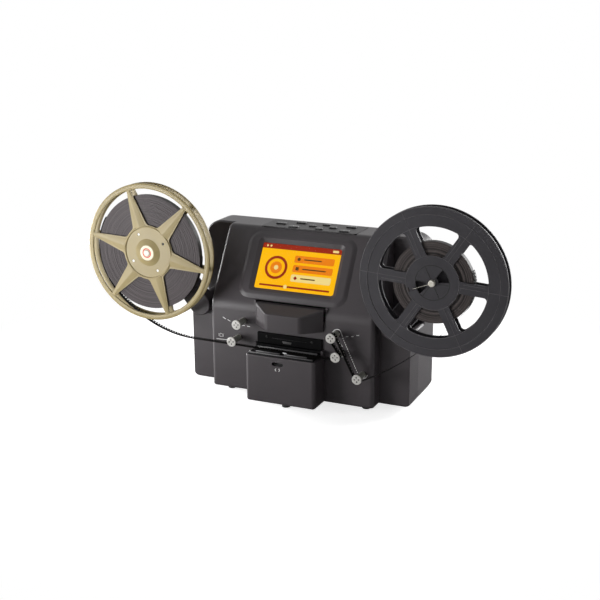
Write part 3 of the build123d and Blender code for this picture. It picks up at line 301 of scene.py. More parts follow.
plastics = {
    "casing": dict(colour=(0.037, 0.0309, 0.0346), vary=0.06, cloud=14, rough=0.43, roughVary=0.05,
                   grain=2600, bump=0.25, gloss=0.38),
    # the casing's plastic again for the hood, its colour lighter as painted light on the hood's front, its
    # gloss lower to keep its top dark
    "hoodCasingPaintedLight": dict(colour=(0.05, 0.044, 0.0475), vary=0.06, cloud=14, rough=0.38, roughVary=0.05,
                      grain=2600, bump=0.2, gloss=0.22),
    "gateBlack": dict(colour=(0.006, 0.006, 0.0065), vary=0.15, cloud=40, rough=0.3, roughVary=0.06,
                      grain=2200, bump=0.12, gloss=0.25),
    "bedBlack": dict(colour=(0.005, 0.005, 0.0055), vary=0.1, cloud=60, rough=0.4, roughVary=0.05,
                     grain=2400, bump=0.1, gloss=0.1),
    "lidBlack": dict(colour=(0.004, 0.004, 0.0043), vary=0.15, cloud=40, rough=0.5, roughVary=0.06,
                     grain=2200, bump=0.12, gloss=0.03),
    # grey for the gate rails: a painted highlight of the light their tops catch
    "railPaintedHighlight": dict(colour=(0.085, 0.083, 0.086), vary=0.1, cloud=90, rough=0.35, roughVary=0.05,
                     grain=2400, bump=0.08, gloss=0.5),
    "key": dict(colour=(0.014, 0.013, 0.0135), vary=0.08, cloud=60, rough=0.34, roughVary=0.05,
                grain=2600, bump=0.1, gloss=0.4),
    "panel": dict(colour=(0.027, 0.024, 0.0255), vary=0.06, cloud=14, rough=0.45, roughVary=0.05,
                  grain=2600, bump=0.25, gloss=0.25),
    "blackReel": dict(colour=(0.045, 0.0425, 0.048), vary=0.07, cloud=22, rough=0.46, roughVary=0.06,
                      grain=1900, bump=0.14, gloss=0.25),
    # light grey for the black reel's fine lines: a painted highlight along the edges of its steps and ribs
    "reelLinePaintedHighlight": dict(colour=(0.13, 0.125, 0.13), vary=0.15, cloud=90, rough=0.4, roughVary=0.05,
                     grain=1900, bump=0.1, gloss=0.25),
    # the sleeves' own grey, raised lighter as painted light to make up for the shade the heads cast on them
    "sleeve": dict(colour=(0.3, 0.3, 0.265), vary=0.1, cloud=120, rough=0.45, roughVary=0.06,
                   grain=2400, bump=0.15),
    "rollerHead": dict(colour=(0.5, 0.488, 0.462), vary=0.06, cloud=160, rough=0.42, roughVary=0.06,
                       grain=2400, bump=0.12),
    # dark: the LCD panel's own colour, and painted shade on discs set in recesses and in one reel hole
    "lcdBlackAndPaintedShade": dict(colour=(0.035, 0.034, 0.032), vary=0.2, cloud=160, rough=0.6, roughVary=0.05,
                   grain=2400, bump=0.12, gloss=0.2),
    "lidTab": dict(colour=(0.05, 0.049, 0.049), vary=0.1, cloud=160, rough=0.4, roughVary=0.05,
                   grain=2400, bump=0.1, gloss=0.25),
    "lidScrew": dict(colour=(0.014, 0.014, 0.014), vary=0.1, cloud=160, rough=0.4, roughVary=0.05,
                     grain=2400, bump=0.1, gloss=0.1),
    "spindle": dict(colour=(0.72, 0.69, 0.6), vary=0.05, cloud=90, rough=0.4, roughVary=0.05,
                    grain=2000, bump=0.1),
    "goldPaint": dict(colour=(0.28, 0.221, 0.096), vary=0.05, cloud=30, rough=0.44, roughVary=0.06,
                      grain=1500, bump=0.1, gloss=0.4),
    "steel": dict(colour=(0.5, 0.5, 0.5), vary=0.08, cloud=70, rough=0.32, roughVary=0.08,
                  grain=1700, bump=0.1, metal=1.0),
    "board": dict(colour=(0.02, 0.12, 0.05), vary=0.2, cloud=120, rough=0.4, roughVary=0.05,
                  grain=900, bump=0.15),
    "rubber": dict(colour=(0.012, 0.012, 0.012), vary=0.2, cloud=80, rough=0.75, roughVary=0.08,
                   grain=1600, bump=0.3),
    "ink": dict(colour=(0.68, 0.68, 0.67), vary=0.05, cloud=200, rough=0.6, roughVary=0.05,
                grain=3000, bump=0.05),
    "labelCream": dict(colour=(0.72, 0.66, 0.5), vary=0.05, cloud=140, rough=0.5, roughVary=0.05,
                       grain=2600, bump=0.08),
    "labelRed": dict(colour=(0.62, 0.05, 0.03), vary=0.1, cloud=140, rough=0.5, roughVary=0.05,
                     grain=2600, bump=0.08),
    "filmBase": dict(colour=(0.007, 0.0065, 0.006), vary=0.3, cloud=120, rough=0.5, roughVary=0.08,
                     grain=1200, bump=0.05, gloss=0.04),
    # white for discs in the gold reel's holes: painted light standing for the white backdrop seen through
    # them
    "paintedSeeThroughWhite": dict(colour=(0.85, 0.85, 0.82), vary=0.03, cloud=200, rough=0.3, roughVary=0.05,
                     grain=2600, bump=0.05),
}
finishes = {name: mouldedFinish(name, look) for name, look in plastics.items()}
woundLooks = {
    "supplyWound": dict(rings=640.0, dark=(0.035, 0.0285, 0.03), light=(0.08, 0.0655, 0.069),
                        face=(0.012, 0.011, 0.011), gloss=0.2, hub=supplyHub),
    "takeupWound": dict(rings=420.0, dark=(0.012, 0.010, 0.010), light=(0.11, 0.092, 0.088),
                        face=(0.012, 0.011, 0.011), gloss=0.2, hub=takeupHub),
}
gateGlow = dict(dark=(0.86, 0.88, 0.9), light=(0.95, 0.95, 0.95), glow=1.0)
for name, look in woundLooks.items():
    finishes[name] = woundFinish(name, look)
finishes["screenGlass"] = glassFinish("screenGlass")
finishes["gateGlow"] = litFinish("gateGlow", **gateGlow)
print("finishes made:", len(finishes))

cadFinishes = {
    "panel": ["control_panel"],
    "casing": ["front_shell", "rear_shell", "gate_block", "screen_bezel",
               "left_arm", "left_arm_cover", "right_arm", "right_arm_cover"],
    "gateBlack": ["lens_barrel", "format_switch", "film_claw", "hinge_pins"],
    "hoodCasingPaintedLight": ["hood"],
    "lidBlack": ["gate_lid"],
    "key": [name for name in nodes if name.endswith("_button")],
    "sleeve": [name for name in nodes if name.startswith("roller_") and name != "roller_pins"],
    "steel": ["arm_pins", "shell_screws", "drive_pulley", "claw_motor", "takeup_motor",
              "power_inlet", "usb_socket", "card_slot"],
    "board": ["camera_board", "button_board", "main_board"],
    "spindle": ["supply_spindle", "takeup_spindle"],
    "goldPaint": ["supply_front_flange", "supply_back_flange", "supply_core"],
    "blackReel": ["takeup_front_flange", "takeup_back_flange", "takeup_core"],
    "rubber": ["feet", "drive_belt"],
    "gateGlow": ["gate_light"],
    "screenGlass": ["screen_glass"],
    "lcdBlackAndPaintedShade": ["lcd_panel"],
}
for finishName, names in cadFinishes.items():
    for name in names:
        nodes[name].data.materials.clear()
        nodes[name].data.materials.append(finishes[finishName])
print("frame pieces painted")


# wound film on the two reels

rolls = {
    "supply": dict(node="supply_film_roll", body="supply_reel", turns=62, hub=supplyHub, core=30.4 * mm),
    "takeup": dict(node="takeup_film_roll", body="takeup_reel", turns=30, hub=takeupHub, core=30.4 * mm),
}
rollShape = dict(stepsPerTurn=72, fill=0.92, inside=0.3 * mm, stagger=0.28 * mm,
                 waves=[(2.4, 0.0), (0.71, 1.3)])   # the turns lie unevenly: (rate, start) of each wave


def woundFilm(key):
    roll = rolls[key]
    low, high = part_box(roll["node"])
    outer = min(high.z - roll["hub"].z, roll["hub"].z - low.z) - rollShape["inside"]
    pitch = (outer - roll["core"]) / roll["turns"]
    steps = roll["turns"] * rollShape["stepsPerTurn"]
    deselectAll()
    bpy.ops.mesh.primitive_grid_add(x_subdivisions=steps, y_subdivisions=1, size=1)
    piece = bpy.context.object
    halfWidth = (high.y - low.y) / 2 - rollShape["stagger"]
    for vertex in piece.data.vertices:
        along = (vertex.co.x + 0.5) * roll["turns"]
        angle = along * 2 * math.pi
        radius = roll["core"] + pitch * (0.5 + along * (roll["turns"] - 1) / roll["turns"])
        swing = sum(math.sin(along * rate + start) for rate, start in rollShape["waves"])
        lean = rollShape["stagger"] * swing / len(rollShape["waves"])
        side = math.copysign(halfWidth, vertex.co.y) + lean
        vertex.co = (roll["hub"].x + radius * math.cos(angle), filmY + side,
                     roll["hub"].z + radius * math.sin(angle))
    applyModifier(piece, "SOLIDIFY", thickness=pitch * rollShape["fill"], offset=0)
    finishPiece(piece, key + "WoundFilm", finishes[key + "Wound"], roll["body"])
    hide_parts(roll["node"])
    return outer


rollEdge = {key: woundFilm(key) for key in rolls}
print("film wound on both reels")


# film strips along their path, with a row of perforations

strip = dict(gap=0.45 * mm, overRoll=0.75 * mm, pitch=3.81 * mm, hole=1.8 * mm, thick=0.2 * mm,
             columns=[-4.0 * mm, 1.0 * mm, 3.3 * mm, 4.0 * mm], rowsPerCell=4, wrap=math.radians(60),
             slackAngle=math.radians(207), slackRadius=110 * mm, dropAngle=math.radians(34),
             sagRadius=150 * mm, takeupSag=380 * mm, freeFrom=8 * mm, supplyHold=(60 * mm, -40 * mm),
             takeupHold=(-10 * mm, -85 * mm))
straightDown = math.radians(270)


def polar(centre, radius, angle):
    return centre[0] + radius * math.cos(angle), centre[1] + radius * math.sin(angle)


def runCircle(letter, turn):
    low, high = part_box("roller_" + letter)
    return (low.x + high.x) / 2, (low.z + high.z) / 2, (high.x - low.x) / 2 + strip["gap"], turn


def tangentLine(first, second):
    dx, dz = second[0] - first[0], second[1] - first[1]
    reach = second[3] * second[2] - first[3] * first[2]
    angle = math.atan2(dz, dx) + math.acos(reach / math.hypot(dx, dz))
    return [polar((x, z), -turn * radius, angle) for x, z, radius, turn in (first, second)]


def lineRun(start, end):
    return dict(start=start, end=end, length=math.dist(start, end))


def arcRun(centre, start, end, turn):
    first = math.atan2(start[1] - centre[1], start[0] - centre[0])
    last = math.atan2(end[1] - centre[1], end[0] - centre[0])
    span = (turn * (last - first)) % (2 * math.pi)
    radius = math.dist(centre, start)
    return dict(centre=centre, radius=radius, first=first, turn=turn, length=span * radius)


def runPoint(runs, along):
    for run in runs:
        if along <= run["length"] or run is runs[-1]:
            break
        along -= run["length"]
    along = min(along, run["length"])
    if "centre" in run:
        return polar(run["centre"], run["radius"], run["first"] + run["turn"] * along / run["radius"])
    share = along / run["length"]
    return tuple(a + (b - a) * share for a, b in zip(run["start"], run["end"]))


def perforatedStrip(name, runs, node):
    length = sum(run["length"] for run in runs)
    cells = max(1, round(length / strip["pitch"]))
    rows, lanes = cells * strip["rowsPerCell"], len(strip["columns"]) - 1
    deselectAll()
    bpy.ops.mesh.primitive_grid_add(x_subdivisions=rows, y_subdivisions=lanes, size=1)
    piece = bpy.context.object
    # the hole is the second row and the second lane of each cell
    selectFaces(piece, lambda face: round((face.center.x + 0.5) * rows - 0.5) % strip["rowsPerCell"] == 1
                and round((face.center.y + 0.5) * lanes - 0.5) == 1)
    bpy.ops.mesh.delete(type="FACE")
    bpy.ops.object.mode_set(mode="OBJECT")
    holeShare = strip["hole"] / strip["pitch"]
    plain = (1 - holeShare) / (strip["rowsPerCell"] - 1)
    rowShares = [0, plain, plain + holeShare, 2 * plain + holeShare]
    for vertex in piece.data.vertices:
        cell, part = divmod(round((vertex.co.x + 0.5) * rows), strip["rowsPerCell"])
        column = round((vertex.co.y + 0.5) * lanes)
        x, z = runPoint(runs, (cell + rowShares[part]) / cells * length)
        vertex.co = (x, filmY + strip["columns"][column], z)
    applyModifier(piece, "SOLIDIFY", thickness=strip["thick"], offset=0)
    finishPiece(piece, name, finishes["filmBase"], None)
    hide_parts(node)
    print(name, "is", round(length, 3), "m long")
    return piece


gateLine = tangentLine(runCircle("b", 1), runCircle("d", 1))
gateShare = -gateLine[0][0] / (gateLine[1][0] - gateLine[0][0])
gateMiddle = (0.0, gateLine[0][1] + gateShare * (gateLine[1][1] - gateLine[0][1]))


def supplyRuns():
    # loose off the roll, falling, then level in a second bend and on into the gate
    hub, roll = (supplyHub.x, supplyHub.z), rollEdge["supply"] + strip["overRoll"]
    leave, fall = strip["slackAngle"], straightDown - strip["dropAngle"]
    slack = polar(hub, roll - strip["slackRadius"], leave)
    drop = polar(slack, strip["slackRadius"], fall)
    low, far = gateLine
    level = math.atan2(far[1] - low[1], far[0] - low[0])
    heading = -strip["dropAngle"]
    across = (low[0] - drop[0], low[1] - drop[1])
    reach = (across[0] * math.sin(level) - across[1] * math.cos(level)) / math.sin(level - heading)
    meet = polar(drop, reach, heading)
    cut = strip["sagRadius"] * math.tan((level - heading) / 2)
    bend = (polar(meet, -cut, heading), polar(meet, cut, level))
    middle = polar(bend[1], strip["sagRadius"], level + math.pi / 2)
    return [arcRun(hub, polar(hub, roll, leave - strip["wrap"]), polar(hub, roll, leave), 1),
            arcRun(slack, polar(hub, roll, leave), drop, 1), lineRun(drop, bend[0]),
            arcRun(middle, bend[0], bend[1], 1), lineRun(bend[1], gateMiddle)]


def hangingArc(first, second, radius):
    # the arc that holds two turning circles inside it, and where it touches them
    dx, dz = second[0] - first[0], second[1] - first[1]
    apart = math.hypot(dx, dz)
    nearFirst, nearSecond = radius - first[2], radius - second[2]
    along = (nearFirst ** 2 - nearSecond ** 2 + apart ** 2) / (2 * apart)
    aside = math.sqrt(nearFirst ** 2 - along ** 2)
    middle = (first[0] + (along * dx - aside * dz) / apart, first[1] + (along * dz + aside * dx) / apart)
    return middle, [polar((x, z), reach, math.atan2(z - middle[1], x - middle[0]))
                    for x, z, reach, turn in (first, second)]


def takeupRuns():
    roll = (takeupHub.x, takeupHub.z, rollEdge["takeup"] + strip["overRoll"], 1)
    stops = [runCircle("d", 1), runCircle("c", -1), runCircle("e", 1)]
    arrive = gateLine[1]
    runs = [lineRun(gateMiddle, arrive)]
    for here, after in zip(stops, stops[1:]):
        leave, meet = tangentLine(here, after)
        runs += [arcRun(here[:2], arrive, leave, here[3]), lineRun(leave, meet)]
        arrive = meet
    last = stops[-1]
    middle, (leave, meet) = hangingArc(last, roll, strip["takeupSag"])
    runs += [arcRun(last[:2], arrive, leave, 1), arcRun(middle, leave, meet, 1)]
    ahead = math.atan2(meet[1] - roll[1], meet[0] - roll[0]) + strip["wrap"]
    return runs + [arcRun(roll[:2], meet, polar(roll[:2], roll[2], ahead), 1)]


supplyStrip = perforatedStrip("supplyFilmStrip", supplyRuns(), "supply_film")
takeupStrip = perforatedStrip("takeupFilmStrip", takeupRuns(), "takeup_film")
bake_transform(supplyStrip)
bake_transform(takeupStrip)
print("film strips threaded")


# roller pins with their round heads, and a dark disc of painted shade at the bottom of each head's cross
# recess

pinHead = dict(radius=6.2 * mm, thick=2.0 * mm, gap=0.3 * mm, edge=0.45 * mm, edgeSteps=3, shaft=2.0 * mm,
               shaftEdge=0.1 * mm, sides=32, arms=4, armReach=3.1 * mm, armFrom=1.7 * mm, armEnd=0.9 * mm,
               armEndSides=20, armWidth=1.5 * mm, armTurn=8, deep=1.4 * mm, slotShare=0.98, floor=4.3 * mm,
               floorShare=0.9, floorThick=0.3 * mm, floorEdge=0.05 * mm)


def rollerPin(letter):
    place = middleOf("roller_" + letter)
    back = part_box("roller_" + letter)[0].y - pinHead["gap"]
    face = back - pinHead["thick"]
    head = addDisc((place.x, back - pinHead["thick"] / 2, place.z), pinHead["radius"], pinHead["thick"])
    softEdges(head, pinHead["edge"], pinHead["edgeSteps"])
    cutDepth, length = 2 * pinHead["deep"], pinHead["armReach"] - pinHead["armFrom"]
    for arm in range(pinHead["arms"]):
        # an arm of the cross recess, round at its end
        angle = math.radians(pinHead["armTurn"] + 360 / pinHead["arms"] * arm)
        x, z = polar((place.x, place.z), pinHead["armReach"], angle)
        cutWith(head, addDisc((x, face, z), pinHead["armEnd"], cutDepth, pinHead["armEndSides"]))
        x, z = polar((place.x, place.z), (pinHead["armFrom"] + pinHead["armReach"]) / 2, angle)
        slot = (length, pinHead["slotShare"] * cutDepth, pinHead["armWidth"])
        cutWith(head, addBox((x, face, z), slot, -angle))
    shaft = addDisc((place.x, (back + frontY) / 2, place.z), pinHead["shaft"], frontY - back,
                    pinHead["sides"])
    softEdges(shaft, pinHead["shaftEdge"], 1)
    pin = joinAll([head, shaft])
    finishPiece(pin, "rollerPin" + letter.upper(), finishes["rollerHead"], "housing")
    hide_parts("roller_pins")
    # a dark disc at the bottom of the cross recess: painted shade, far darker than the head
    floor = addDisc((place.x, face + pinHead["floorShare"] * pinHead["deep"], place.z), pinHead["floor"],
                    pinHead["floorThick"], pinHead["sides"])
    softEdges(floor, pinHead["floorEdge"], 1)
    finishPiece(floor, "rollerRecessShade" + letter.upper(), finishes["lcdBlackAndPaintedShade"], "housing")


for letter in "abcde":
    rollerPin(letter)
print("roller pins made")


# relief on the gold reel

goldReel = dict(spokes=6, turn=48, hub=34.0 * mm, rim=83.5 * mm, footHalf=8.4 * mm, tipHalf=1.9 * mm,
                ridge=1.65 * mm, foot=0.1 * mm, crest=0.8 * mm, rimShare=0.5, ridgeThick=0.4 * mm,
                rimBeads=[(85.7 * mm, 3.25 * mm, 0.24), (82.95 * mm, 0.6 * mm, 1.0)],   # radius, bead, flat
                dishRadius=33.5 * mm, dishBead=1.2 * mm)
goldHub = dict(labelRadius=9.6 * mm, labelHole=4.4 * mm, labelFlat=0.06, markRadius=5.6 * mm,
               markBead=0.7 * mm, markFlat=0.2, markLift=0.12 * mm, holes=4, holeCircle=26 * mm, holeAngle=30,
               holeFillRadius=1.5 * mm, holeFillIn=0.5 * mm, holeFillThick=0.6 * mm, holeFillEdge=0.1 * mm, holeFillSides=24)


def spokeRidge(turn, faceY, outward):
    # a low roof along the spoke, highest at the hub, with a narrow flat crest
    deselectAll()
    bpy.ops.mesh.primitive_grid_add(x_subdivisions=1, y_subdivisions=3, size=2)
    piece = bpy.context.object
    for vertex in piece.data.vertices:
        if vertex.co.x > 0:
            reach, half, share = goldReel["rim"], goldReel["tipHalf"], goldReel["rimShare"]
        else:
            reach, half, share = goldReel["hub"], goldReel["footHalf"], 1.0
        if round(abs(vertex.co.y)) == 1:
            rise, side = goldReel["foot"], vertex.co.y * half
        else:
            rise, side = goldReel["ridge"] * share, math.copysign(goldReel["crest"] * share, vertex.co.y)
        x = reach * math.cos(turn) - side * math.sin(turn)
        z = reach * math.sin(turn) + side * math.cos(turn)
        vertex.co = (supplyHub.x + x, faceY + outward * rise, supplyHub.z + z)
    applyModifier(piece, "SOLIDIFY", thickness=goldReel["ridgeThick"], offset=0)
    return piece


def goldRelief():
    front, back = goldFrontY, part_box("supply_back_flange")[1].y
    x, z = supplyHub.x, supplyHub.z
    parts = []
    for faceY, outward in ((front, -1), (back, 1)):
        for radius, bead, flat in goldReel["rimBeads"]:
            parts.append(addRing((x, faceY, z), radius, bead, flat))
        parts.append(addRing((x, faceY, z), goldReel["dishRadius"], goldReel["dishBead"], 1.0))
        for spoke in range(goldReel["spokes"]):
            turn = math.radians(goldReel["turn"] + 360 / goldReel["spokes"] * spoke)
            parts.append(spokeRidge(turn, faceY, outward))
    relief = joinAll(parts)
    finishPiece(relief, "goldReelRelief", finishes["goldPaint"], "supply_reel")
    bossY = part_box("supply_front_flange")[0].y
    wide = (goldHub["labelRadius"] - goldHub["labelHole"]) / 2
    label = addRing((x, bossY, z), goldHub["labelHole"] + wide, wide, goldHub["labelFlat"])
    finishPiece(label, "goldReelLabel", finishes["labelCream"], "supply_reel")
    mark = addRing((x, bossY - goldHub["markLift"], z), goldHub["markRadius"], goldHub["markBead"],
                   goldHub["markFlat"])
    finishPiece(mark, "goldReelMark", finishes["labelRed"], "supply_reel")
    # a disc in each flange hole: the white ones are painted light of the backdrop seen through the holes, the
    # first is dark as painted shade seen into its hole
    holeFills = []
    for hole in range(goldHub["holes"]):
        angle = math.radians(goldHub["holeAngle"] + 360 / goldHub["holes"] * hole)
        holeFillX, holeFillZ = polar((x, z), goldHub["holeCircle"], angle)
        holeFills.append(addDisc((holeFillX, front + goldHub["holeFillIn"], holeFillZ), goldHub["holeFillRadius"],
                             goldHub["holeFillThick"], goldHub["holeFillSides"]))
        softEdges(holeFills[-1], goldHub["holeFillEdge"], 1)
    finishPiece(holeFills[0], "goldReelDarkHoleShade", finishes["lcdBlackAndPaintedShade"], "supply_reel")
    holeFill = joinAll(holeFills[1:])
    finishPiece(holeFill, "goldReelSeeThroughLight", finishes["paintedSeeThroughWhite"], "supply_reel")


goldRelief()
print("gold reel relief made")


# fine lines and film end on the black reel; the lines are lighter than the reel as a painted highlight along
# its step and rib edges

blackReel = dict(spokes=6, turn=56, rings=[88.4 * mm, 79.5 * mm, 66.2 * mm, 32.0 * mm], ringSteps=200,
                 bead=0.28 * mm, rimRise=0.4 * mm, lineFrom=32 * mm, stepRadius=79.5 * mm, lineTo=88.0 * mm,
                 stepGaps=(0.4 * mm, 0.2 * mm), sideFrom=36 * mm, sideTo=62 * mm, sideStep=4.2 * mm,
                 line=0.42 * mm, rise=0.4 * mm, eyeRadius=20.6 * mm, eyeBead=0.5 * mm, eyeFlat=0.3,
                 eyeSteps=120, eyeFrom=5.5 * mm, eyeLine=0.8 * mm)
filmEnd = dict(angle=201.0, inner=5 * mm, outer=25 * mm, aside=0.6 * mm, deep=0.2 * mm, edge=0.1 * mm)


def radialLine(angle, inner, outer, aside, faceY, wide=blackReel["line"]):
    middle = (inner + outer) / 2
    place = (takeupHub.x + middle * math.cos(angle) - aside * math.sin(angle), faceY,
             takeupHub.z + middle * math.sin(angle) + aside * math.cos(angle))
    return addBox(place, (outer - inner, blackReel["rise"], wide), -angle)


def blackLines():
    plainY = reelFrontY + blackReel["rimRise"]   # the face inside the raised rim
    step = blackReel["stepRadius"]
    x, z = takeupHub.x, takeupHub.z
    parts, seams = [], []
    for radius in blackReel["rings"]:
        faceY = reelFrontY if radius >= step else plainY
        parts.append(addRing((x, faceY, z), radius, blackReel["bead"], around=blackReel["ringSteps"]))
    seams.append(addRing((x, plainY, z), blackReel["eyeRadius"], blackReel["eyeBead"], blackReel["eyeFlat"],
                         blackReel["eyeSteps"]))
    for spoke in range(blackReel["spokes"]):
        angle = math.radians(blackReel["turn"] + 360 / blackReel["spokes"] * spoke)
        parts.append(radialLine(angle, blackReel["lineFrom"], step - blackReel["stepGaps"][0], 0, plainY))
        parts.append(radialLine(angle, step + blackReel["stepGaps"][1], blackReel["lineTo"], 0, reelFrontY))
        parts.append(radialLine(angle, blackReel["sideFrom"], blackReel["sideTo"], blackReel["sideStep"],
                                plainY))
        seams.append(radialLine(angle, blackReel["eyeFrom"], blackReel["eyeRadius"], 0, plainY,
                                blackReel["eyeLine"]))
    # the fine lines: low beads and bars, lighter than the reel as a painted highlight on its edges
    highlightLines = joinAll(parts)
    finishPiece(highlightLines, "blackReelPaintedHighlights", finishes["reelLinePaintedHighlight"], "takeup_reel")
    seam = joinAll(seams)
    finishPiece(seam, "blackReelSeams", finishes["rubber"], "takeup_reel")
    wire = radialLine(math.radians(filmEnd["angle"]), filmEnd["inner"], filmEnd["outer"], filmEnd["aside"],
                      reelFrontY + filmEnd["deep"])
    softEdges(wire, filmEnd["edge"])
    finishPiece(wire, "filmEnd", finishes["spindle"], "takeup_reel")


blackLines()
print("black reel lines made")


# what the display shows: plain tiles and bands, behind the glass

display = dict(lean=math.radians(59), depth=-0.6 * mm, layer=0.03 * mm, cornerSteps=5)
displayTints = {   # dark, light, glow
    "amber": ((1.0, 0.49, 0.0), (1.0, 0.53, 0.002), 1.1),
    "deepRed": ((0.36, 0.022, 0.006), (0.45, 0.035, 0.008), 0.9),
    "orange": ((0.95, 0.24, 0.004), (1.0, 0.29, 0.006), 0.95),
    "cream": ((1.0, 0.78, 0.28), (1.0, 0.82, 0.34), 0.95),
    "ink": ((0.12, 0.06, 0.008), (0.16, 0.08, 0.01), 0.9),
}
screenMiddle = middleOf("screen_glass")
screenUp = Vector((0, math.cos(display["lean"]), math.sin(display["lean"])))
screenOut = Vector((0, -math.sin(display["lean"]), math.cos(display["lean"])))
# (tint, across, up, width, height, corner, turn in degrees), all in mm on the display
displayShapes = [
    ("amber", 0, 0, 108.6, 60.6, 0.1, 0),
    ("deepRed", 0, 26.9, 108.6, 6.8, 0.1, 0),
    ("cream", -48, 26.9, 2.6, 2.6, 1.2, 0),
    ("cream", -43, 26.9, 2.6, 2.6, 1.2, 0),
    ("cream", 46, 26.9, 8, 3, 0.8, 0),
    ("deepRed", -30, -1, 31, 31, 15.4, 0),
    ("amber", -30, -1, 24, 24, 11.9, 0),
    ("orange", -30, -1, 16, 16, 7.9, 0),
    ("cream", -30, -1, 6, 6, 2.9, 0),
    ("orange", 20, 12.5, 54, 9.4, 2, 0),
    ("orange", 20, 0, 54, 9.4, 2, 0),
    ("cream", 20, -12.5, 54, 9.4, 2, 0),
    ("ink", -1, 12.5, 4.4, 4.4, 2.1, 0),
    ("ink", -1, 0, 4.4, 4.4, 0.5, 0),
    ("deepRed", -1, -12.5, 3.8, 3.8, 0.4, 45),
    ("ink", 18, 12.5, 24, 1.6, 0.7, 0),
    ("ink", 22, 0, 32, 1.6, 0.7, 0),
    ("ink", 16, -12.5, 20, 1.6, 0.7, 0),
    ("deepRed", 0, -25, 96, 2.4, 1.1, 0),
    ("cream", -12, -25, 5, 5, 2.4, 0),
]


def displayShape(number, shape):
    tint, across, up, wide, high, corner, turn = shape
    deselectAll()
    bpy.ops.mesh.primitive_plane_add(size=1)
    piece = bpy.context.object
    piece.scale = (wide * mm, high * mm, 1)
    freeze(piece)
    bpy.ops.object.mode_set(mode="EDIT")
    bpy.ops.mesh.select_all(action="SELECT")
    bpy.ops.mesh.bevel(offset=corner * mm, segments=display["cornerSteps"], affect="VERTICES")
    bpy.ops.object.mode_set(mode="OBJECT")
    piece.rotation_euler = (0, 0, math.radians(turn))
    freeze(piece)
    piece.rotation_euler = (display["lean"], 0, 0)
    lift = display["depth"] + number * display["layer"]
    piece.location = (screenMiddle + Vector((across * mm, 0, 0)) + screenUp * (up * mm)
                      + screenOut * lift)
    finishPiece(piece, "display%02d" % number, displayFinish[tint], "housing")


displayFinish = {tint: litFinish("display" + tint.title(), *look) for tint, look in displayTints.items()}
for number, shape in enumerate(displayShapes):
    displayShape(number, shape)
print("display laid out")


# thin printed marks on the front

prints = dict(line=0.8 * mm, fine=0.45 * mm, lift=0.06 * mm, thin=0.08 * mm, dotShare=0.62)


def inkLine(start, end, faceY, wide=prints["line"]):
    length = math.dist(start, end)
    angle = math.atan2(end[1] - start[1], end[0] - start[0])
    return addBox(((start[0] + end[0]) / 2, faceY - prints["lift"], (start[1] + end[1]) / 2),
                  (length, prints["thin"], wide), -angle)


def inkPath(points, faceY, wide=prints["line"]):
    return [inkLine(a, b, faceY, wide) for a, b in zip(points, points[1:])]


def scaled(point):
    return point[0] * mm, point[1] * mm


# all in mm on the front face: (start, end) of each dash, the points of each bent line, and the
# (start, end, dots) of each dotted line
printDashes = [((-94.4, 103.1), (-90.0, 100.8)), ((-87.5, 100.4), (-83.8, 98.6)),
               ((-66.9, 95.3), (-63.1, 95.2)), ((-59.6, 94.9), (-55.6, 94.8)),
               ((75.0, 98.1), (78.1, 98.8)), ((81.9, 99.1), (85.0, 99.7)),
               ((88.8, 101.2), (92.2, 102.0)), ((-104.4, 72.8), (-88.1, 73.1))]
printBends = [[(57.5, 101.9), (60.0, 104.8), (63.1, 106.2), (66.2, 105.9), (68.5, 103.1), (70.6, 97.5)],
              [(68.8, 71.2), (71.6, 72.0), (73.8, 74.4)], [(97.5, 47.2), (101.9, 48.8), (104.0, 52.5)]]
printDotted = [((70.8, 96.2), (91.2, 52.5), 17), ((63.1, 92.8), (71.2, 84.4), 5)]
printIcon = dict(x=-97.5, z=78.4, wide=3.4, high=4.2, tick=3.2)
# an arrow head to each side under the format switch
switchMark = dict(aside=3.5 * mm, apart=3.2 * mm, down=7 * mm, wide=1.4 * mm, high=1.8 * mm)


def frontPrints():
    marks = [inkLine(scaled(start), scaled(end), frontY) for start, end in printDashes]
    for points in printBends:
        marks += inkPath([scaled(point) for point in points], frontY)
    for start, end, count in printDotted:
        for n in range(count):
            ends = [[a + (b - a) * dot / count for a, b in zip(start, end)]
                    for dot in (n, n + prints["dotShare"])]
            marks.append(inkLine(scaled(ends[0]), scaled(ends[1]), frontY))
    x, z = printIcon["x"], printIcon["z"]
    across, up = printIcon["wide"] / 2, printIcon["high"] / 2
    frameEnds = [(x - across, z - up), (x + across, z - up), (x + across, z + up), (x - across, z + up)]
    marks += inkPath([scaled(point) for point in frameEnds + frameEnds[:1]], frontY, prints["fine"])
    for side in (-1, 1):
        tick = x + side * printIcon["tick"]
        marks.append(inkLine(scaled((tick, z - up)), scaled((tick, z + up)), frontY, prints["fine"]))
    switch = middleOf("format_switch")
    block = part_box("gate_block")[0].y
    for side in (-1, 1):
        tipX = switch.x - switchMark["aside"] + side * switchMark["apart"]
        tipZ = switch.z - switchMark["down"]
        backX = tipX - side * switchMark["wide"]
        marks += inkPath([(backX, tipZ + switchMark["high"]), (tipX, tipZ),
                          (backX, tipZ - switchMark["high"])], block)
    piece = joinAll(marks)
    finishPiece(piece, "frontPrints", finishes["ink"], "housing")


frontPrints()
print("front marks printed")


# screws, tab and rib on the gate lid

lidOut = 2.7 * mm   # the lid's face in front of the casing's
lidScrew = dict(x=31 * mm, down=5 * mm, radius=1.7 * mm, thick=1.2 * mm, sides=24, edge=0.3 * mm,
                slotOut=0.6 * mm, slot=(2.4 * mm, 0.5 * mm, 0.45 * mm))
lidTab = dict(x=-3 * mm, z=80.5 * mm, half=6.6 * mm, high=3.0 * mm, thick=1.0 * mm, taper=0.8, edge=0.25 * mm)
lidRib = dict(z=84.6 * mm, half=24 * mm, thick=0.5 * mm, high=0.6 * mm, edge=0.15 * mm)


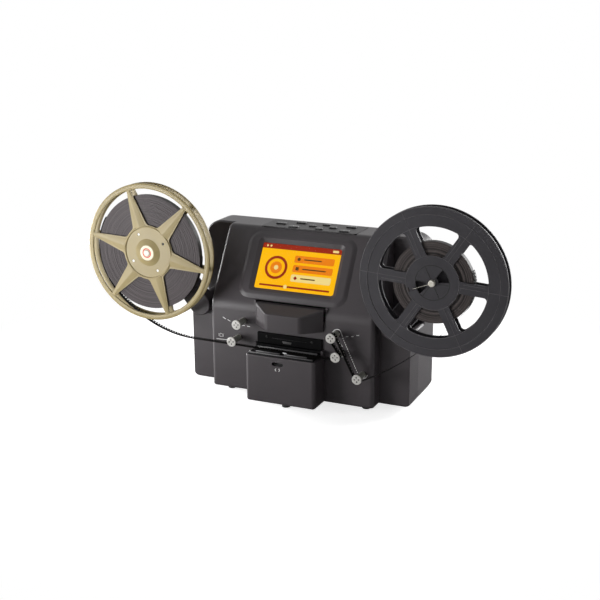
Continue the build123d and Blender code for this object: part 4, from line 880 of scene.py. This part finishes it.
def gateDetails():
    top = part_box("gate_lid")[1].z
    faceY = frontY - lidOut
    for side, sideName in ((-1, "Left"), (1, "Right")):
        x, z = side * lidScrew["x"], top - lidScrew["down"]
        screw = addDisc((x, faceY, z), lidScrew["radius"], lidScrew["thick"], lidScrew["sides"])
        softEdges(screw, lidScrew["edge"])
        cutWith(screw, addBox((x, faceY - lidScrew["slotOut"], z), lidScrew["slot"]))
        finishPiece(screw, "lidScrew" + sideName, finishes["lidScrew"], "gate_lid")
    tab = addBox((lidTab["x"], faceY, lidTab["z"]), (2 * lidTab["half"], lidTab["thick"], lidTab["high"]))
    for vertex in tab.data.vertices:
        if vertex.co.z < lidTab["z"]:
            vertex.co.x = lidTab["x"] + (vertex.co.x - lidTab["x"]) * lidTab["taper"]
    softEdges(tab, lidTab["edge"])
    finishPiece(tab, "lidTab", finishes["lidTab"], "gate_lid")
    rib = addBox((0, faceY, lidRib["z"]), (2 * lidRib["half"], lidRib["thick"], lidRib["high"]))
    softEdges(rib, lidRib["edge"])
    finishPiece(rib, "lidRib", finishes["lidScrew"], "gate_lid")


gateDetails()
print("gate lid details made")


# gate bed: a black plate with grey rails, their grey a painted highlight for the light on their tops, all in
# mm from the middle of its front edge
# a rail is (left, right, its front, depth, height) and a stud is (across, in from the front)

gateBed = dict(half=44.0, thick=2.0, lip=0.5, edge=0.35, sink=0.1,
               rails=[(-43.4, 43.4, 0.5, 2.2, 1.0), (-35.0, -2.5, 4.8, 1.6, 2.0),
                      (3.5, 34.0, 4.8, 1.6, 2.0), (-41.0, 41.0, 20.6, 2.2, 2.5)],
               ridge=(-40.0, 40.0, 8.2, 2.0, 0.8), lightGap=0.2, lightCut=20, lightSides=48,
               studs=[(-42.6, 17.5), (-42.6, 4.0)], studRadius=0.9, studHigh=1.4, studEdge=0.25, studSides=24)


def bedBar(bar, front, bedTop):
    left, right, start, deep, high = bar
    place = ((left + right) / 2 * mm, front + (start + deep / 2) * mm,
             bedTop + (high - gateBed["sink"]) / 2 * mm)
    piece = addBox(place, ((right - left) * mm, deep * mm, (high + gateBed["sink"]) * mm))
    softEdges(piece, gateBed["edge"] * mm)
    return piece


def addPost(place, radius, depth, vertices):
    # a round piece that stands upright
    deselectAll()
    bpy.ops.mesh.primitive_cylinder_add(vertices=vertices, radius=radius, depth=depth, location=place)
    return bpy.context.object


def gateBedPieces():
    low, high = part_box("gate_bed")
    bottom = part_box("gate_light")[0].z
    bedTop = bottom + gateBed["thick"] * mm
    light = middleOf("gate_light")
    plate = addBox((0, (low.y + high.y) / 2, (bottom + bedTop) / 2),
                   (2 * gateBed["half"] * mm, high.y - low.y, gateBed["thick"] * mm))
    softEdges(plate, gateBed["lip"] * mm)
    lightRadius = (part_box("gate_light")[1].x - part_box("gate_light")[0].x) / 2 + gateBed["lightGap"] * mm
    cutWith(plate, addPost(light, lightRadius, gateBed["lightCut"] * mm, gateBed["lightSides"]))
    plate = joinAll([plate, bedBar(gateBed["ridge"], low.y, bedTop)])
    finishPiece(plate, "gateBedPlate", finishes["bedBlack"], "housing")
    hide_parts("gate_bed")
    rails = joinAll([bedBar(bar, low.y, bedTop) for bar in gateBed["rails"]])
    finishPiece(rails, "gateRails", finishes["railPaintedHighlight"], "housing")
    studs = []
    for x, inward in gateBed["studs"]:
        place = (x * mm, low.y + inward * mm, bedTop + gateBed["studHigh"] / 2 * mm)
        studs.append(addPost(place, gateBed["studRadius"] * mm, gateBed["studHigh"] * mm,
                             gateBed["studSides"]))
        softEdges(studs[-1], gateBed["studEdge"] * mm)
    stud = joinAll(studs)
    finishPiece(stud, "gateStuds", finishes["rollerHead"], "housing")


gateBedPieces()
print("gate bed made")


# icons on the buttons

# arrow and dot: (sides, radius)
icons = dict(arrow=(3, 1.364 * mm), dot=(24, 1.21 * mm), lift=0.04 * mm, thick=0.06 * mm,
             turns={"left_button": 90, "right_button": -90, "up_button": 0, "down_button": 180})


def buttonIcon(node):
    low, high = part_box(node)
    place = ((low.x + high.x) / 2, (low.y + high.y) / 2, high.z + icons["lift"])
    sides, radius = icons["arrow"] if node in icons["turns"] else icons["dot"]
    turn = math.radians(icons["turns"].get(node, 0))
    deselectAll()
    bpy.ops.mesh.primitive_circle_add(vertices=sides, radius=radius, fill_type="NGON", location=place,
                                      rotation=(0, 0, turn))
    icon = bpy.context.object
    applyModifier(icon, "SOLIDIFY", thickness=icons["thick"], offset=0)
    finishPiece(icon, node.replace("_button", "Icon"), finishes["ink"], node)


for node in cadFinishes["key"]:
    buttonIcon(node)
print("button icons made")


# studio: floor, light and camera

plainWhite = (1, 1, 1, 1)
table = dict(size=12, dark=(0.86, 0.86, 0.86), light=(0.88, 0.88, 0.88), cloud=3.0, detail=1.0, rough=0.9,
             fade=(0.22, 0.55), glow=0.74)
sky = dict(low=0.36, high=0.02, top=0.8, sides=(1.2, 0.6))
lampAim = Vector((0, 0, 0.12))
lamps = {
    "keyLamp": dict(place=(-0.55, -0.6, 0.1), size=0.35, power=6.2),
    "backLamp": dict(place=(1.1, 1.5, 0.7), size=1.0, power=38),
    "highLamp": dict(place=(-0.75, -0.6, 1.1), size=0.7, power=0.7),
    "sideLamp": dict(place=(-1.2, 0.12, 0.07), size=0.3, power=30.0),
}
view = dict(eye=(0.5558, -1.2473, 0.5178), aim=(0.01387, -0.040, 0.1378), lens=67.04, sensor=36, roll=-0.255)


def turnTo(aim, place):
    return (Vector(aim) - Vector(place)).to_track_quat("-Z", "Y").to_euler()


def fadeToWhite(tree, shader):
    # the eye sees a lit white table, with the object's shadow on it, that turns plain white further out
    where = tree.nodes.new("ShaderNodeTexCoord")
    reach = addMath(tree, "LENGTH", "ShaderNodeVectorMath")
    fade = spreadOver(tree, reach.outputs["Value"], 0.0, 1.0, *table["fade"])
    fade.interpolation_type = "SMOOTHSTEP"
    path = tree.nodes.new("ShaderNodeLightPath")
    seen = addMath(tree, "MULTIPLY")
    glow = addMath(tree, "MULTIPLY")
    glow.inputs[1].default_value = table["glow"]
    shine = addNode(tree, "ShaderNodeEmission", Color=plainWhite)
    lit = tree.nodes.new("ShaderNodeAddShader")
    white = addNode(tree, "ShaderNodeEmission", Color=plainWhite, Strength=1.0)
    mix = tree.nodes.new("ShaderNodeMixShader")
    tree.links.new(where.outputs["Object"], reach.inputs[0])
    tree.links.new(fade.outputs["Result"], seen.inputs[0])
    tree.links.new(path.outputs["Is Camera Ray"], seen.inputs[1])
    tree.links.new(path.outputs["Is Camera Ray"], glow.inputs[0])
    tree.links.new(glow.outputs["Value"], shine.inputs["Strength"])
    tree.links.new(shader.outputs["BSDF"], lit.inputs[0])
    tree.links.new(shine.outputs["Emission"], lit.inputs[1])
    tree.links.new(seen.outputs["Value"], mix.inputs["Fac"])
    tree.links.new(lit.outputs["Shader"], mix.inputs[1])
    tree.links.new(white.outputs["Emission"], mix.inputs[2])
    tree.links.new(mix.outputs["Shader"], tree.nodes["Material Output"].inputs["Surface"])


def buildSky(scene):
    world = bpy.data.worlds.new("studioWorld")
    scene.world = world
    world.use_nodes = True
    tree = world.node_tree
    plain = tree.nodes["Background"]
    plain.inputs["Color"].default_value = plainWhite
    where = tree.nodes.new("ShaderNodeTexCoord")
    toward = tree.nodes.new("ShaderNodeSeparateXYZ")
    tree.links.new(where.outputs["Generated"], toward.inputs["Vector"])
    # brightest near the horizon, as round a lit table, and brighter on the left than on the right
    dim = spreadOver(tree, toward.outputs["Z"], sky["low"], sky["high"], fromHigh=sky["top"])
    sides = spreadOver(tree, toward.outputs["X"], *sky["sides"], fromLow=-1.0)
    level = addMath(tree, "MULTIPLY")
    tree.links.new(dim.outputs["Result"], level.inputs[0])
    tree.links.new(sides.outputs["Result"], level.inputs[1])
    tree.links.new(level.outputs["Value"], plain.inputs["Strength"])
    # plain white to the eye, and in what is glossy or clear
    white = addNode(tree, "ShaderNodeBackground", Color=plainWhite, Strength=1.0)
    path = tree.nodes.new("ShaderNodeLightPath")
    mix = tree.nodes.new("ShaderNodeMixShader")
    sees, seesToo = addMath(tree, "MAXIMUM"), addMath(tree, "MAXIMUM")
    tree.links.new(path.outputs["Is Camera Ray"], sees.inputs[0])
    tree.links.new(path.outputs["Is Glossy Ray"], sees.inputs[1])
    tree.links.new(sees.outputs["Value"], seesToo.inputs[0])
    tree.links.new(path.outputs["Is Transmission Ray"], seesToo.inputs[1])
    tree.links.new(seesToo.outputs["Value"], mix.inputs["Fac"])
    tree.links.new(plain.outputs["Background"], mix.inputs[1])
    tree.links.new(white.outputs["Background"], mix.inputs[2])
    tree.links.new(mix.outputs["Shader"], tree.nodes["World Output"].inputs["Surface"])


def buildTable():
    deselectAll()
    bpy.ops.mesh.primitive_plane_add(size=table["size"], location=(0, 0, 0))
    floor = bpy.context.object
    floor.name = "floor"
    cover, tree, shader = newFinish("floorCover")
    soft = objectNoise(tree, table["cloud"], table["detail"])
    tint = tintBetween(tree, soft.outputs["Fac"], table["dark"], table["light"])
    tree.links.new(tint, shader.inputs["Base Color"])
    shader.inputs["Roughness"].default_value = table["rough"]
    fadeToWhite(tree, shader)
    floor.data.materials.append(cover)


def hangLamps(scene):
    for name, look in lamps.items():
        lamp = bpy.data.objects.new(name, bpy.data.lights.new(name, "AREA"))
        lamp.data.size = look["size"]
        lamp.data.energy = look["power"]
        lamp.location = look["place"]
        lamp.rotation_euler = turnTo(lampAim, look["place"])
        scene.collection.objects.link(lamp)


def placeCamera(scene):
    camera = bpy.data.objects.new("photoCamera", bpy.data.cameras.new("photoCamera"))
    camera.data.lens = view["lens"]
    camera.data.sensor_width = view["sensor"]
    camera.data.sensor_fit = "HORIZONTAL"
    camera.location = view["eye"]
    camera.rotation_euler = turnTo(view["aim"], view["eye"])
    camera.rotation_euler.rotate_axis("Z", math.radians(view["roll"]))
    scene.collection.objects.link(camera)
    scene.camera = camera


studioScene = bpy.context.scene
studioScene.view_settings.view_transform = "Standard"
buildSky(studioScene)
buildTable()
hangLamps(studioScene)
placeCamera(studioScene)
print("studio ready")
